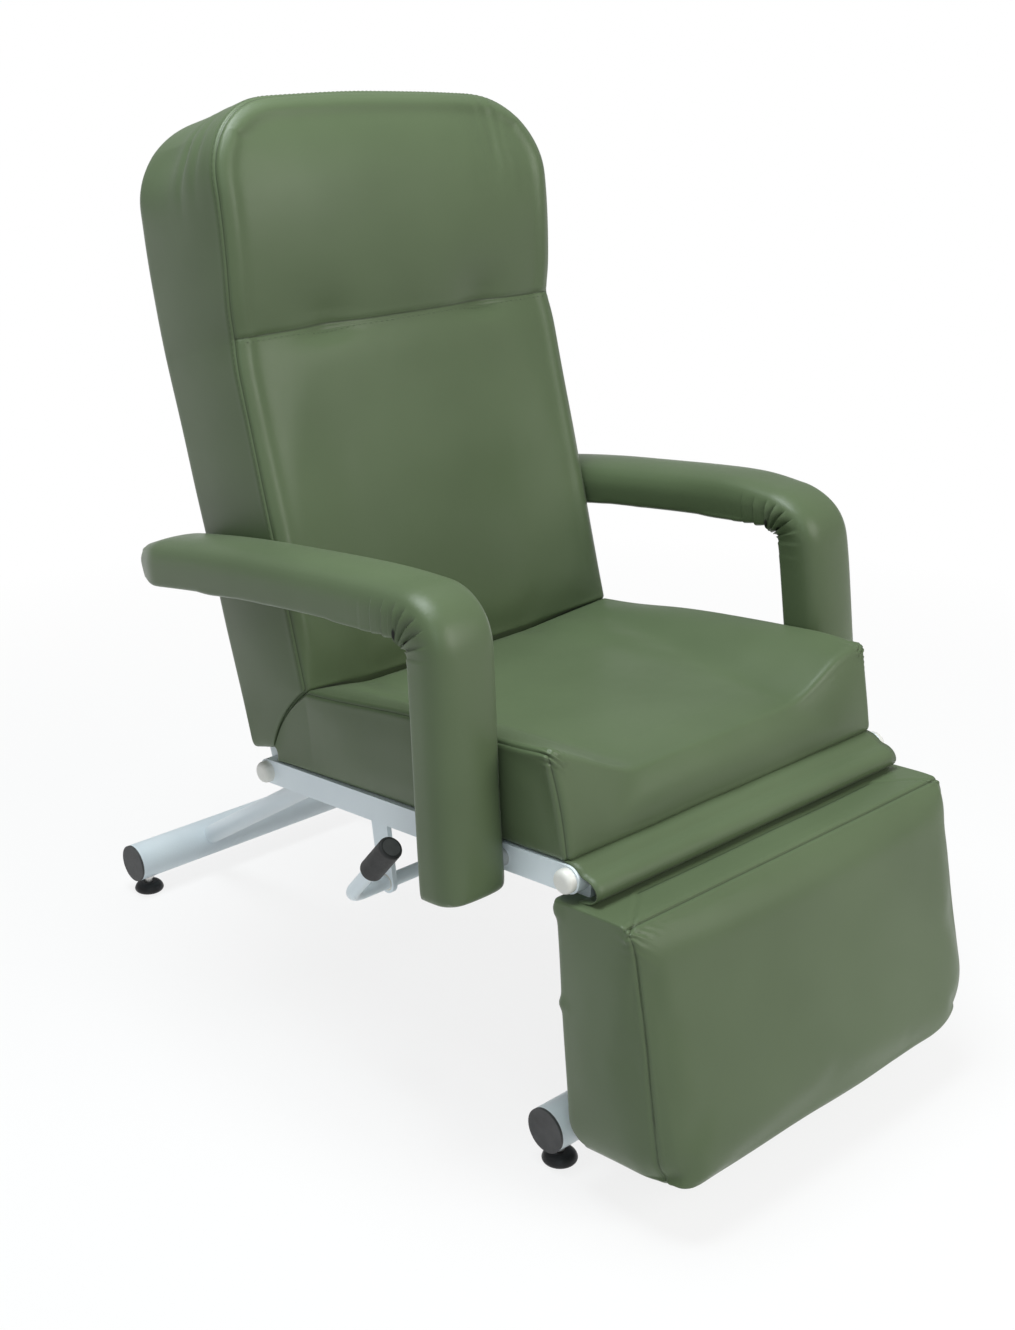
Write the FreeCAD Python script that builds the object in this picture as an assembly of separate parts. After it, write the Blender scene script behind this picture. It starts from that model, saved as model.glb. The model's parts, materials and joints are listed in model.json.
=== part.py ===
import FreeCAD, Part
import math
import os

# Reclining treatment chair whose backrest and legrest move together.
# Millimetres and degrees. +Z is up, the sitter faces -Y and the floor is Z = 0.
# "left" is the -X side of the drawing, which carries the release lever.

# Hinge lines of the legrest (front) and the backrest (rear)
FRONT_PIVOT_Y = -354.5
FRONT_PIVOT_HEIGHT = 358.0
PIVOT_SPACING = 510.0
PIVOT_DROP = 55.0
RECLINE_TRAVEL = 65.0

# Base tubes, their caps and feet
TUBE_OD = 50.8
TUBE_WALL = 2.0
BASE_TUBE_LENGTH = 486.0
TUBE_FLOOR_GAP = 22.1
FRONT_TUBE_SETBACK = 29.0
BASE_TUBE_SPACING = 821.0
END_CAP_LIP = 3.0
END_CAP_GAP = 2.0
FOOT_INSET = 20.0
FOOT_DIAMETER = 39.5
FOOT_GLIDE_HEIGHT = 13.0
FOOT_RIM_HEIGHT = 4.0
FOOT_DOME = 1.5
FOOT_STUD_DIAMETER = 10.0
FOOT_INSERT_WALL = 3.0
FOOT_INSERT_LENGTH = 16.0
FOOT_INSERT_DROP = 2.0

# Legs between the base tubes and the seat frame
LEG_OD = 25.4
LEG_WALL = 2.0
LEG_OFFSET = 128.0

# Seat frame
RAIL_REVEAL = 2.0
RAIL_HEIGHT = 30.0
RAIL_THICKNESS = 15.0
RAIL_WALL = 2.5
RAIL_END_BLOCK = 24.0
CROSS_DEPTH = 40.0
CROSS_WALL = 2.0
FRONT_CROSS_GAP = 6.0
MID_CROSS_SETBACK = 290.0
REAR_CROSS_SETBACK = 455.0

# Hinges
PIVOT_BOLT_DIAMETER = 12.0
BOLT_HEAD_DIAMETER = 18.0
BOLT_HEAD_HEIGHT = 5.0
BOLT_REACH = 20.0
BUSH_WALL = 3.0
BUSH_FLANGE = 2.0
BUSH_FLANGE_DIAMETER = 25.0
RUNNING_CLEARANCE = 0.05
SIDE_CLEARANCE = 0.3
CAP_DIAMETER = 26.0
CAP_HEIGHT = 11.0
CAP_WALL = 2.5
CAP_ROUNDING = 6.0
TORQUE_TUBE_OD = 25.4
HINGE_PLATE = 6.0

# Seat cushion and its board
SEAT_WIDTH = 486.0
SEAT_THICKNESS = 111.0
SEAT_FRONT_LEAN = 13.0
SEAT_FRONT_DISH = 48.0
SEAT_REAR_DISH = 27.0
SEAT_DISH_HALF_WIDTH = 132.0
SEAT_REAR_FALL = 10.0
SEAT_CORNER_RADIUS = 14.0
SEAT_SIDE_DRAW = 2.5
SEAT_CROWN = 3.0
BOARD_THICKNESS = 12.0
BOARD_MARGIN = 10.0

# Curved line where the seat's rear meets the backrest's lower end
MEETING_LOW_SETBACK = 15.0
MEETING_LOW_HEIGHT = 30.0
MEETING_TOP_SETBACK = 94.0
MEETING_BULGE = 10.0
MEETING_GAP = 3.0

# Backrest, measured along and across its side arms
BACK_WIDTH = 486.0
BACK_LEAN = 16.7
BACK_HEIGHT = 751.0
BACK_REAR_OFFSET = 30.0
BACK_TAIL_HEIGHT = 27.0
BACK_TAIL_REAR = 25.0
HEAD_SEAM_HEIGHT = 497.0
HEAD_SEAM_DEPTH = 119.0
HEAD_SEAM_SINK = 5.0
HEAD_DEPTH = 156.0
HEAD_FORWARD = 8.0
BACK_TOP_RADIUS = 95.0
BACK_TOP_FRONT_SLOPE = 0.35
BACK_TOP_REAR_SLOPE = 0.4
REAR_PANEL_THICKNESS = 8.0
BACK_EDGE_RADIUS = 16.0
BACK_SIDE_DRAW = 3.0
BACK_CROWN = 9.0
CREASE_CROWN = 4.0
TAIL_CROWN = 0.5
BACK_ARM_WIDTH = 20.0
BACK_ARM_LENGTH = 520.0
BACK_CROSS_LOW = 170.0
BACK_CROSS_HIGH = 440.0
BACK_POCKET_BOTTOM = 70.0
BACK_POCKET_MARGIN = 20.0

# Legrest, measured along and across its hinge plates
LEGREST_WIDTH = 506.0
LEG_LEAN = 5.0
LEGREST_TOP_DROP = 22.0
LEGREST_LENGTH = 277.0
LEGREST_REAR_OFFSET = 15.0
LEGREST_TOP_DEPTH = 94.0
LEGREST_BOTTOM_DEPTH = 139.0
LEGREST_CORNER_RADIUS = 58.0
LEGREST_HEEL_RISE = 8.0
LEGREST_HEEL_SLOPE = 0.5
LEGREST_TOP_DRAW = 4.0
LEGREST_EDGE_RADIUS = 14.0
LEGREST_SIDE_DRAW = 3.0
LEGREST_CROWN = 8.0
LEG_PLATE_LENGTH = 185.0
LEG_PLATE_WIDTH = 18.0
LEG_BOARD_MARGIN = 24.0

# Vinyl apron between the seat's front edge and the legrest's top
APRON_INSET = 8.0
APRON_THICKNESS = 2.0
APRON_REACH = 39.0
APRON_RISE = 21.0
APRON_GAP = 0.5
APRON_TUCK = 11.0

# Linking rod between the backrest and the legrest
LINK_OFFSET = 91.0
LINK_CRANK_RADIUS = 60.0
LINK_PLATE = 6.0
LINK_EYE_DIAMETER = 22.0
LINK_EYE_LIP = 1.0
LINK_ROD_DIAMETER = 10.0
PIN_DIAMETER = 10.0
PIN_HEAD = 2.0

# Locking gas spring
SPRING_ARM = 130.0
SPRING_REST_ANGLE = 150.0
SPRING_OD = 28.0
SPRING_WALL = 2.0
SPRING_BODY_LENGTH = 150.0
SPRING_GUIDE = 8.0
SPRING_NECK = 14.0
SPRING_ROD_DIAMETER = 10.0
SPRING_ROD_LENGTH = 140.0
SPRING_PISTON_GAP = 0.5
SPRING_HEAD_DIAMETER = 19.0
CLEVIS_PLATE = 6.0
CLEVIS_EYE_RADIUS = 11.0
CLEVIS_SIDE_GAP = 0.5
CLEVIS_BODY_GAP = 1.0
RELEASE_PIN_DIAMETER = 4.0
RELEASE_PIN_REACH = 16.0
RELEASE_PIN_LENGTH = 40.0
RELEASE_PIN_TRAVEL = 6.0

# Release lever
LEVER_SETBACK = 295.0
LEVER_HEIGHT = 237.0
LEVER_BAR_DIAMETER = 16.0
LEVER_OUT = 296.0
LEVER_BEND_RADIUS = 24.0
LEVER_GRIP_FORWARD = 78.0
LEVER_GRIP_RISE = 90.0
LEVER_GRIP_DIAMETER = 27.0
LEVER_GRIP_LENGTH = 56.0
LEVER_GRIP_END = 5.0
LEVER_GRIP_ROUNDING = 3.0
LEVER_BRACKET_GAP = 6.0
LEVER_BAR_OVERHANG = 6.0
LEVER_BRACKET_PLATE = 6.0
HANGER_PLATE = 6.0
HANGER_TOP_RADIUS = 14.0
HANGER_EYE_RADIUS = 13.0
LEVER_BUSH_WALL = 2.0
FINGER_WIDTH = 7.0
FINGER_HUB_RADIUS = 13.0
FINGER_TIP_RADIUS = 5.0
FINGER_TIP_GAP = 21.2
FINGER_TIP_ANGLE = 150.0

# Armrests
ARM_GAP = 9.0
ARM_WIDTH = 78.0
ARM_POST_SETBACK = 80.0
ARM_LEAN_IN = 1.8
ARM_THICKNESS = 46.0
ARM_POST_BOTTOM = 321.0
ARM_TOP_HEIGHT = 631.0
ARM_BEND_RADIUS = 15.0
ARM_FALL = 3.0
ARM_PAD_LENGTH = 480.0
ARM_PAD_BEND = 8.5
ARM_TIP_LENGTH = 52.0
ARM_TIP_THICKNESS = 32.0
ARM_TIP_WIDTH = 54.0
ARM_EDGE_RADIUS = 17.0
ARM_CROWN = 4.0
ARM_DRAW = 2.0
ARM_FOOT_SOFTNESS = 6.0
ARM_BOARD_THICKNESS = 12.0
ARM_BOARD_PROUD = 1.0
ARM_BOARD_MARGIN = 9.0
ARM_BOARD_RISE = 10.0
ARM_BOARD_SHORTFALL = 72.0
ARM_BLOCK_HEIGHT = 60.0
ARM_BLOCK_COVER = 9.0
ARM_BOLT_DIAMETER = 8.0
ARM_BOLT_HEAD_DIAMETER = 13.0
ARM_BOLT_HEAD_HEIGHT = 5.0
ARM_BOLT_PITCH = 22.0
ARM_SPACER_DIAMETER = 20.0

# Screws that hold the boards
SCREW_DIAMETER = 6.0
SCREW_HEAD_DIAMETER = 11.0
SCREW_HEAD_HEIGHT = 3.0
SCREW_SPREAD = 180.0
SCREW_DEPTH = 9.0

SIDES = (-1, 1)
EDGE_SHARE = 0.45
BOW = 1 - math.sqrt(0.5)
ROUND_OVER_ANGLES = (35, 60, 80)
RIGHT = FreeCAD.Vector(1, 0, 0)


def vec(x, y, z):
    return FreeCAD.Vector(x, y, z)


def tilted(pivot_y, pivot_z, lean):
    """Frame on a hinge line: local Y runs to the rear, local Z up a member that leans to the rear."""
    return FreeCAD.Placement(vec(0, pivot_y, pivot_z), FreeCAD.Rotation(RIGHT, -lean))


rail_pitch = math.degrees(math.atan2(PIVOT_DROP, PIVOT_SPACING))
rail_length = math.hypot(PIVOT_SPACING, PIVOT_DROP)
rear_pivot_y = FRONT_PIVOT_Y + PIVOT_SPACING
rear_pivot_height = FRONT_PIVOT_HEIGHT - PIVOT_DROP
RAIL = tilted(FRONT_PIVOT_Y, FRONT_PIVOT_HEIGHT, rail_pitch)
BACK = tilted(rear_pivot_y, rear_pivot_height, BACK_LEAN)
LEG = tilted(FRONT_PIVOT_Y, FRONT_PIVOT_HEIGHT, LEG_LEAN)
UPRIGHT_FRONT = tilted(FRONT_PIVOT_Y, FRONT_PIVOT_HEIGHT, 0)

# Places across the width, from the rail's outer face to the hinge plates
rail_outer = SEAT_WIDTH / 2 + RAIL_REVEAL
rail_inner = rail_outer - RAIL_THICKNESS
plate_outer = rail_inner - BUSH_FLANGE - SIDE_CLEARANCE
plate_inner = plate_outer - HINGE_PLATE
rail_top = RAIL_HEIGHT / 2
cross_height = RAIL_HEIGHT - 2 * RAIL_WALL
cross_half = cross_height / 2
web_inner = rail_outer - RAIL_WALL


def point(frame, across, along, x=0.0):
    return frame.multVec(vec(x, across, along))


def placed(frame, shape):
    moved = shape.copy()
    moved.Placement = frame.multiply(shape.Placement)
    return moved


def box(x0, x1, y0, y1, z0, z1):
    return Part.makeBox(x1 - x0, y1 - y0, z1 - z0, vec(x0, y0, z0))


def rod(start, end, diameter):
    axis = end.sub(start)
    return Part.makeCylinder(diameter / 2, axis.Length, start, axis)


def cross_rod(x0, x1, centre, diameter):
    return Part.makeCylinder(diameter / 2, x1 - x0, vec(x0, centre.y, centre.z), RIGHT)


def tube(start, end, outer, wall):
    return rod(start, end, outer).cut(rod(start, end, outer - 2 * wall))


def box_tube(x0, x1, y0, y1, z0, z1, wall):
    bore = box(x0, x1, y0 + wall, y1 - wall, z0 + wall, z1 - wall)
    return box(x0, x1, y0, y1, z0, z1).cut(bore)


def line(a, b):
    return Part.LineSegment(a, b).toShape()


def arc(a, via, b):
    return Part.Arc(a, via, b).toShape()


def extruded(edges, x0, x1):
    """Plate across the width from an outline that was drawn at X = 0."""
    face = Part.Face(Part.Wire(edges))
    plate = face.extrude(vec(x1 - x0, 0, 0))
    plate.translate(vec(x0, 0, 0))
    return plate


def link_plate(x0, x1, p, q, radius_p, radius_q):
    """Flat link between two points of a Y-Z plane, with round ends and straight tangent sides."""
    along = math.atan2(q.z - p.z, q.y - p.y)
    spread = math.acos((radius_p - radius_q) / q.sub(p).Length)

    def rim(centre, radius, angle):
        return vec(0, centre.y + radius * math.cos(angle), centre.z + radius * math.sin(angle))

    a = rim(p, radius_p, along + spread)
    b = rim(q, radius_q, along + spread)
    c = rim(q, radius_q, along - spread)
    d = rim(p, radius_p, along - spread)
    edges = [line(a, b), arc(b, rim(q, radius_q, along), c)]
    edges += [line(c, d), arc(d, rim(p, radius_p, along + math.pi), a)]
    return extruded(edges, x0, x1)


def mixed(a, b, share):
    return a + (b - a) * share


def span(side, inner, outer):
    """Low and high X of something that lies between two distances from the centre plane."""
    return (inner, outer) if side > 0 else (-outer, -inner)


def pad_section(rear, front, half_width, crown, draw, edge_radius, centre_x=0.0):
    """Outline of a padded piece: flat rear, drawn-in sides, rounded edges and a crowned front."""
    depth = front.sub(rear).Length
    ahead = front.sub(rear).normalize()
    radius = min(edge_radius, EDGE_SHARE * depth, EDGE_SHARE * half_width)
    corner = radius * BOW

    def at(x, forward):
        return vec(centre_x + x, rear.y + ahead.y * forward, rear.z + ahead.z * forward)

    inner = half_width - radius
    far = depth - radius
    edges = [line(at(-inner, 0), at(inner, 0))]
    edges.append(arc(at(inner, 0), at(half_width - corner, corner), at(half_width, radius)))
    edges.append(arc(at(half_width, radius), at(half_width - draw, depth / 2), at(half_width, far)))
    edges.append(arc(at(half_width, far), at(half_width - corner, depth - corner), at(inner, depth)))
    edges.append(arc(at(inner, depth), at(0, depth + crown), at(-inner, depth)))
    edges.append(arc(at(-inner, depth), at(corner - half_width, depth - corner), at(-half_width, far)))
    edges.append(arc(at(-half_width, far), at(draw - half_width, depth / 2), at(-half_width, radius)))
    edges.append(arc(at(-half_width, radius), at(corner - half_width, corner), at(-inner, 0)))
    return Part.Wire(edges)


def loft(sections, ruled=False):
    return Part.makeLoft(sections, True, ruled, False, 3)


# Base: two cross tubes with caps and feet
tube_z = TUBE_FLOOR_GAP + TUBE_OD / 2
front_tube_y = FRONT_PIVOT_Y + FRONT_TUBE_SETBACK
rear_tube_y = front_tube_y + BASE_TUBE_SPACING
half_tube = BASE_TUBE_LENGTH / 2
foot_x = half_tube - FOOT_INSET
insert_od = FOOT_STUD_DIAMETER + 2 * FOOT_INSERT_WALL
insert_z = TUBE_FLOOR_GAP - FOOT_INSERT_DROP
plug_length = FOOT_INSET - insert_od / 2 - END_CAP_GAP
foot_places = [(s * foot_x, y) for y in (rear_tube_y, front_tube_y) for s in SIDES]


def base_solid(y):
    return rod(vec(-half_tube, y, tube_z), vec(half_tube, y, tube_z), TUBE_OD)


def base_tube(y):
    shape = tube(vec(-half_tube, y, tube_z), vec(half_tube, y, tube_z), TUBE_OD, TUBE_WALL)
    for side in SIDES:
        hole = rod(vec(side * foot_x, y, insert_z), vec(side * foot_x, y, tube_z), insert_od)
        shape = shape.cut(hole)
    return shape


def tube_end_cap(side, y):
    end = side * half_tube
    lip = rod(vec(end, y, tube_z), vec(end + side * END_CAP_LIP, y, tube_z), TUBE_OD)
    plug = rod(vec(end - side * plug_length, y, tube_z), vec(end, y, tube_z), TUBE_OD - 2 * TUBE_WALL)
    return lip.fuse(plug).removeSplitter()


def foot_insert(x, y):
    bottom = vec(x, y, insert_z)
    top = vec(x, y, insert_z + FOOT_INSERT_LENGTH)
    return rod(bottom, top, insert_od).cut(rod(bottom, top, FOOT_STUD_DIAMETER))


def foot_glide(x, y):
    """Domed glide with a flat sole and a blind socket for its stud."""
    rim = FOOT_DIAMETER / 2
    sole = rim - FOOT_RIM_HEIGHT
    neck = FOOT_STUD_DIAMETER
    bite = FOOT_RIM_HEIGHT * BOW
    shoulder = vec((rim + neck) / 2 + FOOT_DOME, 0, (FOOT_RIM_HEIGHT + FOOT_GLIDE_HEIGHT) / 2 + FOOT_DOME)
    outline = [
        line(vec(0, 0, 0), vec(sole, 0, 0)),
        arc(vec(sole, 0, 0), vec(rim - bite, 0, bite), vec(rim, 0, FOOT_RIM_HEIGHT)),
        arc(vec(rim, 0, FOOT_RIM_HEIGHT), shoulder, vec(neck, 0, FOOT_GLIDE_HEIGHT)),
        line(vec(neck, 0, FOOT_GLIDE_HEIGHT), vec(0, 0, FOOT_GLIDE_HEIGHT)),
        line(vec(0, 0, FOOT_GLIDE_HEIGHT), vec(0, 0, 0)),
    ]
    dome = Part.Face(Part.Wire(outline)).revolve(vec(0, 0, 0), vec(0, 0, 1), 360)
    socket = rod(vec(0, 0, FOOT_GLIDE_HEIGHT / 2), vec(0, 0, FOOT_GLIDE_HEIGHT), FOOT_STUD_DIAMETER)
    glide = dome.cut(socket)
    glide.translate(vec(x, y, 0))
    return glide


def foot_stud(x, y):
    top = insert_z + FOOT_INSERT_LENGTH
    return rod(vec(x, y, FOOT_GLIDE_HEIGHT / 2), vec(x, y, top), FOOT_STUD_DIAMETER)


# Seat frame: side rails, cross members and legs
def side_rail(side):
    """Channel that opens inwards, with solid round ends for the hinge bushes."""
    front = point(RAIL, 0, 0)
    rear = point(RAIL, rail_length, 0)
    low, high = span(side, rail_inner, rail_outer)
    shape = link_plate(low, high, front, rear, rail_top, rail_top)
    low, high = span(side, rail_inner, web_inner)
    cavity = box(low, high, RAIL_END_BLOCK, rail_length - RAIL_END_BLOCK, -cross_half, cross_half)
    shape = shape.cut(placed(RAIL, cavity))
    low, high = span(side, rail_inner, rail_outer)
    for pivot in (front, rear):
        shape = shape.cut(cross_rod(low, high, pivot, bush_od))
    for setback in arm_bolt_setbacks:
        low, high = span(side, web_inner, rail_outer)
        shape = shape.cut(cross_rod(low, high, point(RAIL, setback, 0), ARM_BOLT_DIAMETER))
    return shape


def cross_block(setback):
    y0 = setback - CROSS_DEPTH / 2
    y1 = setback + CROSS_DEPTH / 2
    return placed(RAIL, box(-web_inner, web_inner, y0, y1, -cross_half, cross_half))


def cross_member(setback):
    y0 = setback - CROSS_DEPTH / 2
    y1 = setback + CROSS_DEPTH / 2
    member = box_tube(-web_inner, web_inner, y0, y1, -cross_half, cross_half, CROSS_WALL)
    for x in screw_places:
        hole = rod(vec(x, setback, -cross_half), vec(x, setback, cross_half), SCREW_DIAMETER)
        member = member.cut(hole)
    return placed(RAIL, member)


def leg(side, tube_y, setback):
    """Round leg, coped to its base tube and cut flush with the underside of a cross member."""
    foot = vec(side * LEG_OFFSET, tube_y, tube_z)
    head = point(RAIL, setback, 0, side * LEG_OFFSET)
    reach = rail_length
    above = placed(RAIL, box(-reach, reach, -reach, 2 * reach, -cross_half, reach))
    return tube(foot, head, LEG_OD, LEG_WALL).cut(base_solid(tube_y)).cut(above)


bush_id = PIVOT_BOLT_DIAMETER + 2 * RUNNING_CLEARANCE
bush_od = bush_id + 2 * BUSH_WALL
arm_bolt_middle = ARM_POST_SETBACK + (ARM_BLOCK_COVER + ARM_THICKNESS) / 2
arm_bolt_setbacks = [arm_bolt_middle + s * ARM_BOLT_PITCH / 2 for s in SIDES]
front_cross_rear = arm_bolt_setbacks[0] - ARM_BOLT_HEAD_DIAMETER / 2 - FRONT_CROSS_GAP
front_cross_setback = front_cross_rear - CROSS_DEPTH / 2
screw_places = [-SCREW_SPREAD, 0.0, SCREW_SPREAD]
front_pivot = point(RAIL, 0, 0)
rear_pivot = point(RAIL, rail_length, 0)


def rail_bush(side, pivot):
    low, high = span(side, rail_inner, rail_outer)
    flange_low, flange_high = span(side, rail_inner - BUSH_FLANGE, rail_inner)
    sleeve = cross_rod(low, high, pivot, bush_od)
    flange = cross_rod(flange_low, flange_high, pivot, BUSH_FLANGE_DIAMETER)
    bore_low, bore_high = span(side, rail_inner - BUSH_FLANGE, rail_outer)
    return sleeve.fuse(flange).cut(cross_rod(bore_low, bore_high, pivot, bush_id)).removeSplitter()


def pivot_bolt(side, pivot):
    """Shoulder bolt that turns in the rail's bush and screws into the torque tube's end."""
    head_in = rail_outer + SIDE_CLEARANCE
    low, high = span(side, plate_inner - BOLT_REACH, head_in)
    shank = cross_rod(low, high, pivot, PIVOT_BOLT_DIAMETER)
    low, high = span(side, head_in, head_in + BOLT_HEAD_HEIGHT)
    return shank.fuse(cross_rod(low, high, pivot, BOLT_HEAD_DIAMETER)).removeSplitter()


def hinge_cap(side, pivot):
    """Round cap with a domed face, hollow over the bolt's head."""
    radius = CAP_DIAMETER / 2
    dome = CAP_ROUNDING
    bend = dome * BOW
    top = CAP_HEIGHT
    outline = [
        line(vec(0, 0, 0), vec(0, radius, 0)),
        line(vec(0, radius, 0), vec(0, radius, top - dome)),
        arc(vec(0, radius, top - dome), vec(0, radius - bend, top - bend), vec(0, radius - dome, top)),
        line(vec(0, radius - dome, top), vec(0, 0, top)),
        line(vec(0, 0, top), vec(0, 0, 0)),
    ]
    body = Part.Face(Part.Wire(outline)).revolve(vec(0, 0, 0), vec(0, 0, 1), 360)
    hollow = Part.makeCylinder(radius - CAP_WALL, CAP_HEIGHT - CAP_WALL)
    cap = body.cut(hollow)
    turn = FreeCAD.Rotation(vec(0, 1, 0), 90 * side)
    cap.Placement = FreeCAD.Placement(vec(side * rail_outer, pivot.y, pivot.z), turn)
    return cap


def torque_tube(pivot):
    tube_shape = cross_rod(-plate_inner, plate_inner, pivot, TORQUE_TUBE_OD)
    return tube_shape.cut(cross_rod(-plate_inner, plate_inner, pivot, PIVOT_BOLT_DIAMETER))


# Line where the seat and the backrest meet, in the seat rails' frame
meeting_low = point(RAIL, rail_length - MEETING_LOW_SETBACK, MEETING_LOW_HEIGHT)
seat_rear_height = rail_top + SEAT_THICKNESS - SEAT_REAR_FALL
meeting_high = point(RAIL, rail_length - MEETING_TOP_SETBACK, seat_rear_height)


def meeting_point(share, offset):
    """Point of the bulged line between seat and backrest, moved to the rear by an offset."""
    run = meeting_high.sub(meeting_low)
    to_rear = vec(0, run.z, -run.y).normalize()
    bulge = MEETING_BULGE * 4 * share * (1 - share)
    return meeting_low + run * share + to_rear * (bulge + offset)


def seat_section(bottom, top, dish):
    """Outline across the seat: drawn-in sides, raised side edges and a dished top."""
    height = top.sub(bottom).Length
    up = top.sub(bottom).normalize()
    radius = min(SEAT_CORNER_RADIUS, EDGE_SHARE * height)
    corner = radius * BOW
    sunk = height - min(dish, height / 2)
    shoulder = height - radius
    half = SEAT_WIDTH / 2
    inner = half - radius
    waist = half - SEAT_SIDE_DRAW
    flat = SEAT_DISH_HALF_WIDTH

    def at(x, rise):
        return vec(x, bottom.y + up.y * rise, bottom.z + up.z * rise)

    edges = [line(at(-half, 0), at(half, 0))]
    edges.append(arc(at(half, 0), at(waist, shoulder / 2), at(half, shoulder)))
    edges.append(arc(at(half, shoulder), at(half - corner, height - corner), at(inner, height)))
    edges.append(line(at(inner, height), at(flat, sunk)))
    edges.append(arc(at(flat, sunk), at(0, sunk - SEAT_CROWN), at(-flat, sunk)))
    edges.append(line(at(-flat, sunk), at(-inner, height)))
    edges.append(arc(at(-inner, height), at(corner - half, height - corner), at(-half, shoulder)))
    edges.append(arc(at(-half, shoulder), at(-waist, shoulder / 2), at(-half, 0)))
    return Part.Wire(edges)


def seat_form():
    """Seat: scooped front edge, dished top, and a rear end that follows the backrest's lower curve."""
    crest = rail_top + SEAT_THICKNESS
    rear_floor = rail_length - MEETING_LOW_SETBACK
    rear_top = rail_length - MEETING_TOP_SETBACK
    front = [seat_section(point(RAIL, 0, rail_top), point(RAIL, SEAT_FRONT_LEAN, crest), SEAT_FRONT_DISH)]
    for share in (0.35, 0.65):
        setback = share * rear_top
        dish = mixed(SEAT_FRONT_DISH, SEAT_REAR_DISH, share)
        front.append(seat_section(point(RAIL, setback, rail_top), point(RAIL, setback, crest), dish))
    rear = []
    for share in (1.0, 0.7, 0.4, 0.0):
        bottom = point(RAIL, mixed(rear_floor, rear_top, share), rail_top)
        top = meeting_point(share, -MEETING_GAP / 2)
        rear.append(seat_section(bottom, top, SEAT_REAR_DISH * share + SEAT_CROWN))
    return loft(front + rear[:1]).fuse(loft(rear)).removeSplitter()


def seat_board():
    half = SEAT_WIDTH / 2 - BOARD_MARGIN
    rear_end = rail_length - MEETING_LOW_SETBACK - 2 * BOARD_MARGIN
    board = box(-half, half, BOARD_MARGIN, rear_end, rail_top, rail_top + BOARD_THICKNESS)
    return placed(RAIL, board)


def seat_screw(x, setback):
    """Screw up through a cross member, with its tip in the seat board."""
    seat = vec(x, setback, -cross_half)
    head = rod(seat - vec(0, 0, SCREW_HEAD_HEIGHT), seat, SCREW_HEAD_DIAMETER)
    shank = rod(seat, vec(x, setback, rail_top + SCREW_DEPTH), SCREW_DIAMETER)
    return placed(RAIL, head.fuse(shank).removeSplitter())


# Backrest: side arms, cross tubes, board, cushion and rear panel
arm_half = BACK_ARM_WIDTH / 2
board_front = -arm_half - BOARD_THICKNESS
pocket_top = BACK_ARM_LENGTH + BACK_POCKET_MARGIN
pocket_half = plate_outer + SIDE_CLEARANCE


def back_arm(side):
    low, high = span(side, plate_inner, plate_outer)
    foot = point(BACK, 0, 0)
    head = point(BACK, 0, BACK_ARM_LENGTH - arm_half)
    arm = link_plate(low, high, foot, head, TORQUE_TUBE_OD / 2, arm_half)
    return arm.cut(cross_rod(low, high, foot, PIVOT_BOLT_DIAMETER))


def back_cross_tube(height):
    low = height - arm_half
    high = height + arm_half
    member = box_tube(-plate_inner, plate_inner, -arm_half, arm_half, low, high, CROSS_WALL)
    for x in screw_places:
        member = member.cut(rod(vec(x, -arm_half, height), vec(x, arm_half, height), SCREW_DIAMETER))
    return placed(BACK, member)


def back_board():
    top = pocket_top - BACK_POCKET_MARGIN / 2
    bottom = BACK_POCKET_BOTTOM + BACK_POCKET_MARGIN
    board = box(-plate_inner, plate_inner, board_front, -arm_half, bottom, top)
    return placed(BACK, board)


def back_screw(x, height):
    seat = vec(x, arm_half, height)
    head = rod(seat, seat + vec(0, SCREW_HEAD_HEIGHT, 0), SCREW_HEAD_DIAMETER)
    shank = rod(seat, vec(x, -arm_half - SCREW_DEPTH, height), SCREW_DIAMETER)
    return placed(BACK, head.fuse(shank).removeSplitter())


def back_section(rear, front, half_width, crown):
    return pad_section(rear, front, half_width, crown, BACK_SIDE_DRAW, BACK_EDGE_RADIUS)


def lower_back_form():
    """Backrest from its narrow tail behind the seat up to the seam below the head section."""
    half = BACK_WIDTH / 2
    crease = BACK.inverse().multVec(meeting_point(1.0, MEETING_GAP / 2))
    tail = []
    for share in (0.0, 0.35, 0.7, 1.0):
        front = meeting_point(share, MEETING_GAP / 2)
        rear_height = mixed(BACK_TAIL_HEIGHT, crease.z, share)
        rear = point(BACK, mixed(BACK_TAIL_REAR, BACK_REAR_OFFSET, share), rear_height)
        tail.append(back_section(rear, front, half, mixed(TAIL_CROWN, CREASE_CROWN, share)))
    lumbar = [tail[-1]]
    for share in (0.15, 0.5, 0.8):
        height = mixed(crease.z, HEAD_SEAM_HEIGHT, share)
        front = point(BACK, mixed(crease.y, -HEAD_SEAM_DEPTH, share), height)
        lumbar.append(back_section(point(BACK, BACK_REAR_OFFSET, height), front, half, BACK_CROWN))
    lumbar.append(head_seam_section())
    return loft(tail).fuse(loft(lumbar))


def head_seam_section():
    rear = point(BACK, BACK_REAR_OFFSET, HEAD_SEAM_HEIGHT)
    front = point(BACK, HEAD_SEAM_SINK - HEAD_SEAM_DEPTH, HEAD_SEAM_HEIGHT)
    return back_section(rear, front, BACK_WIDTH / 2, BACK_CROWN)


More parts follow.
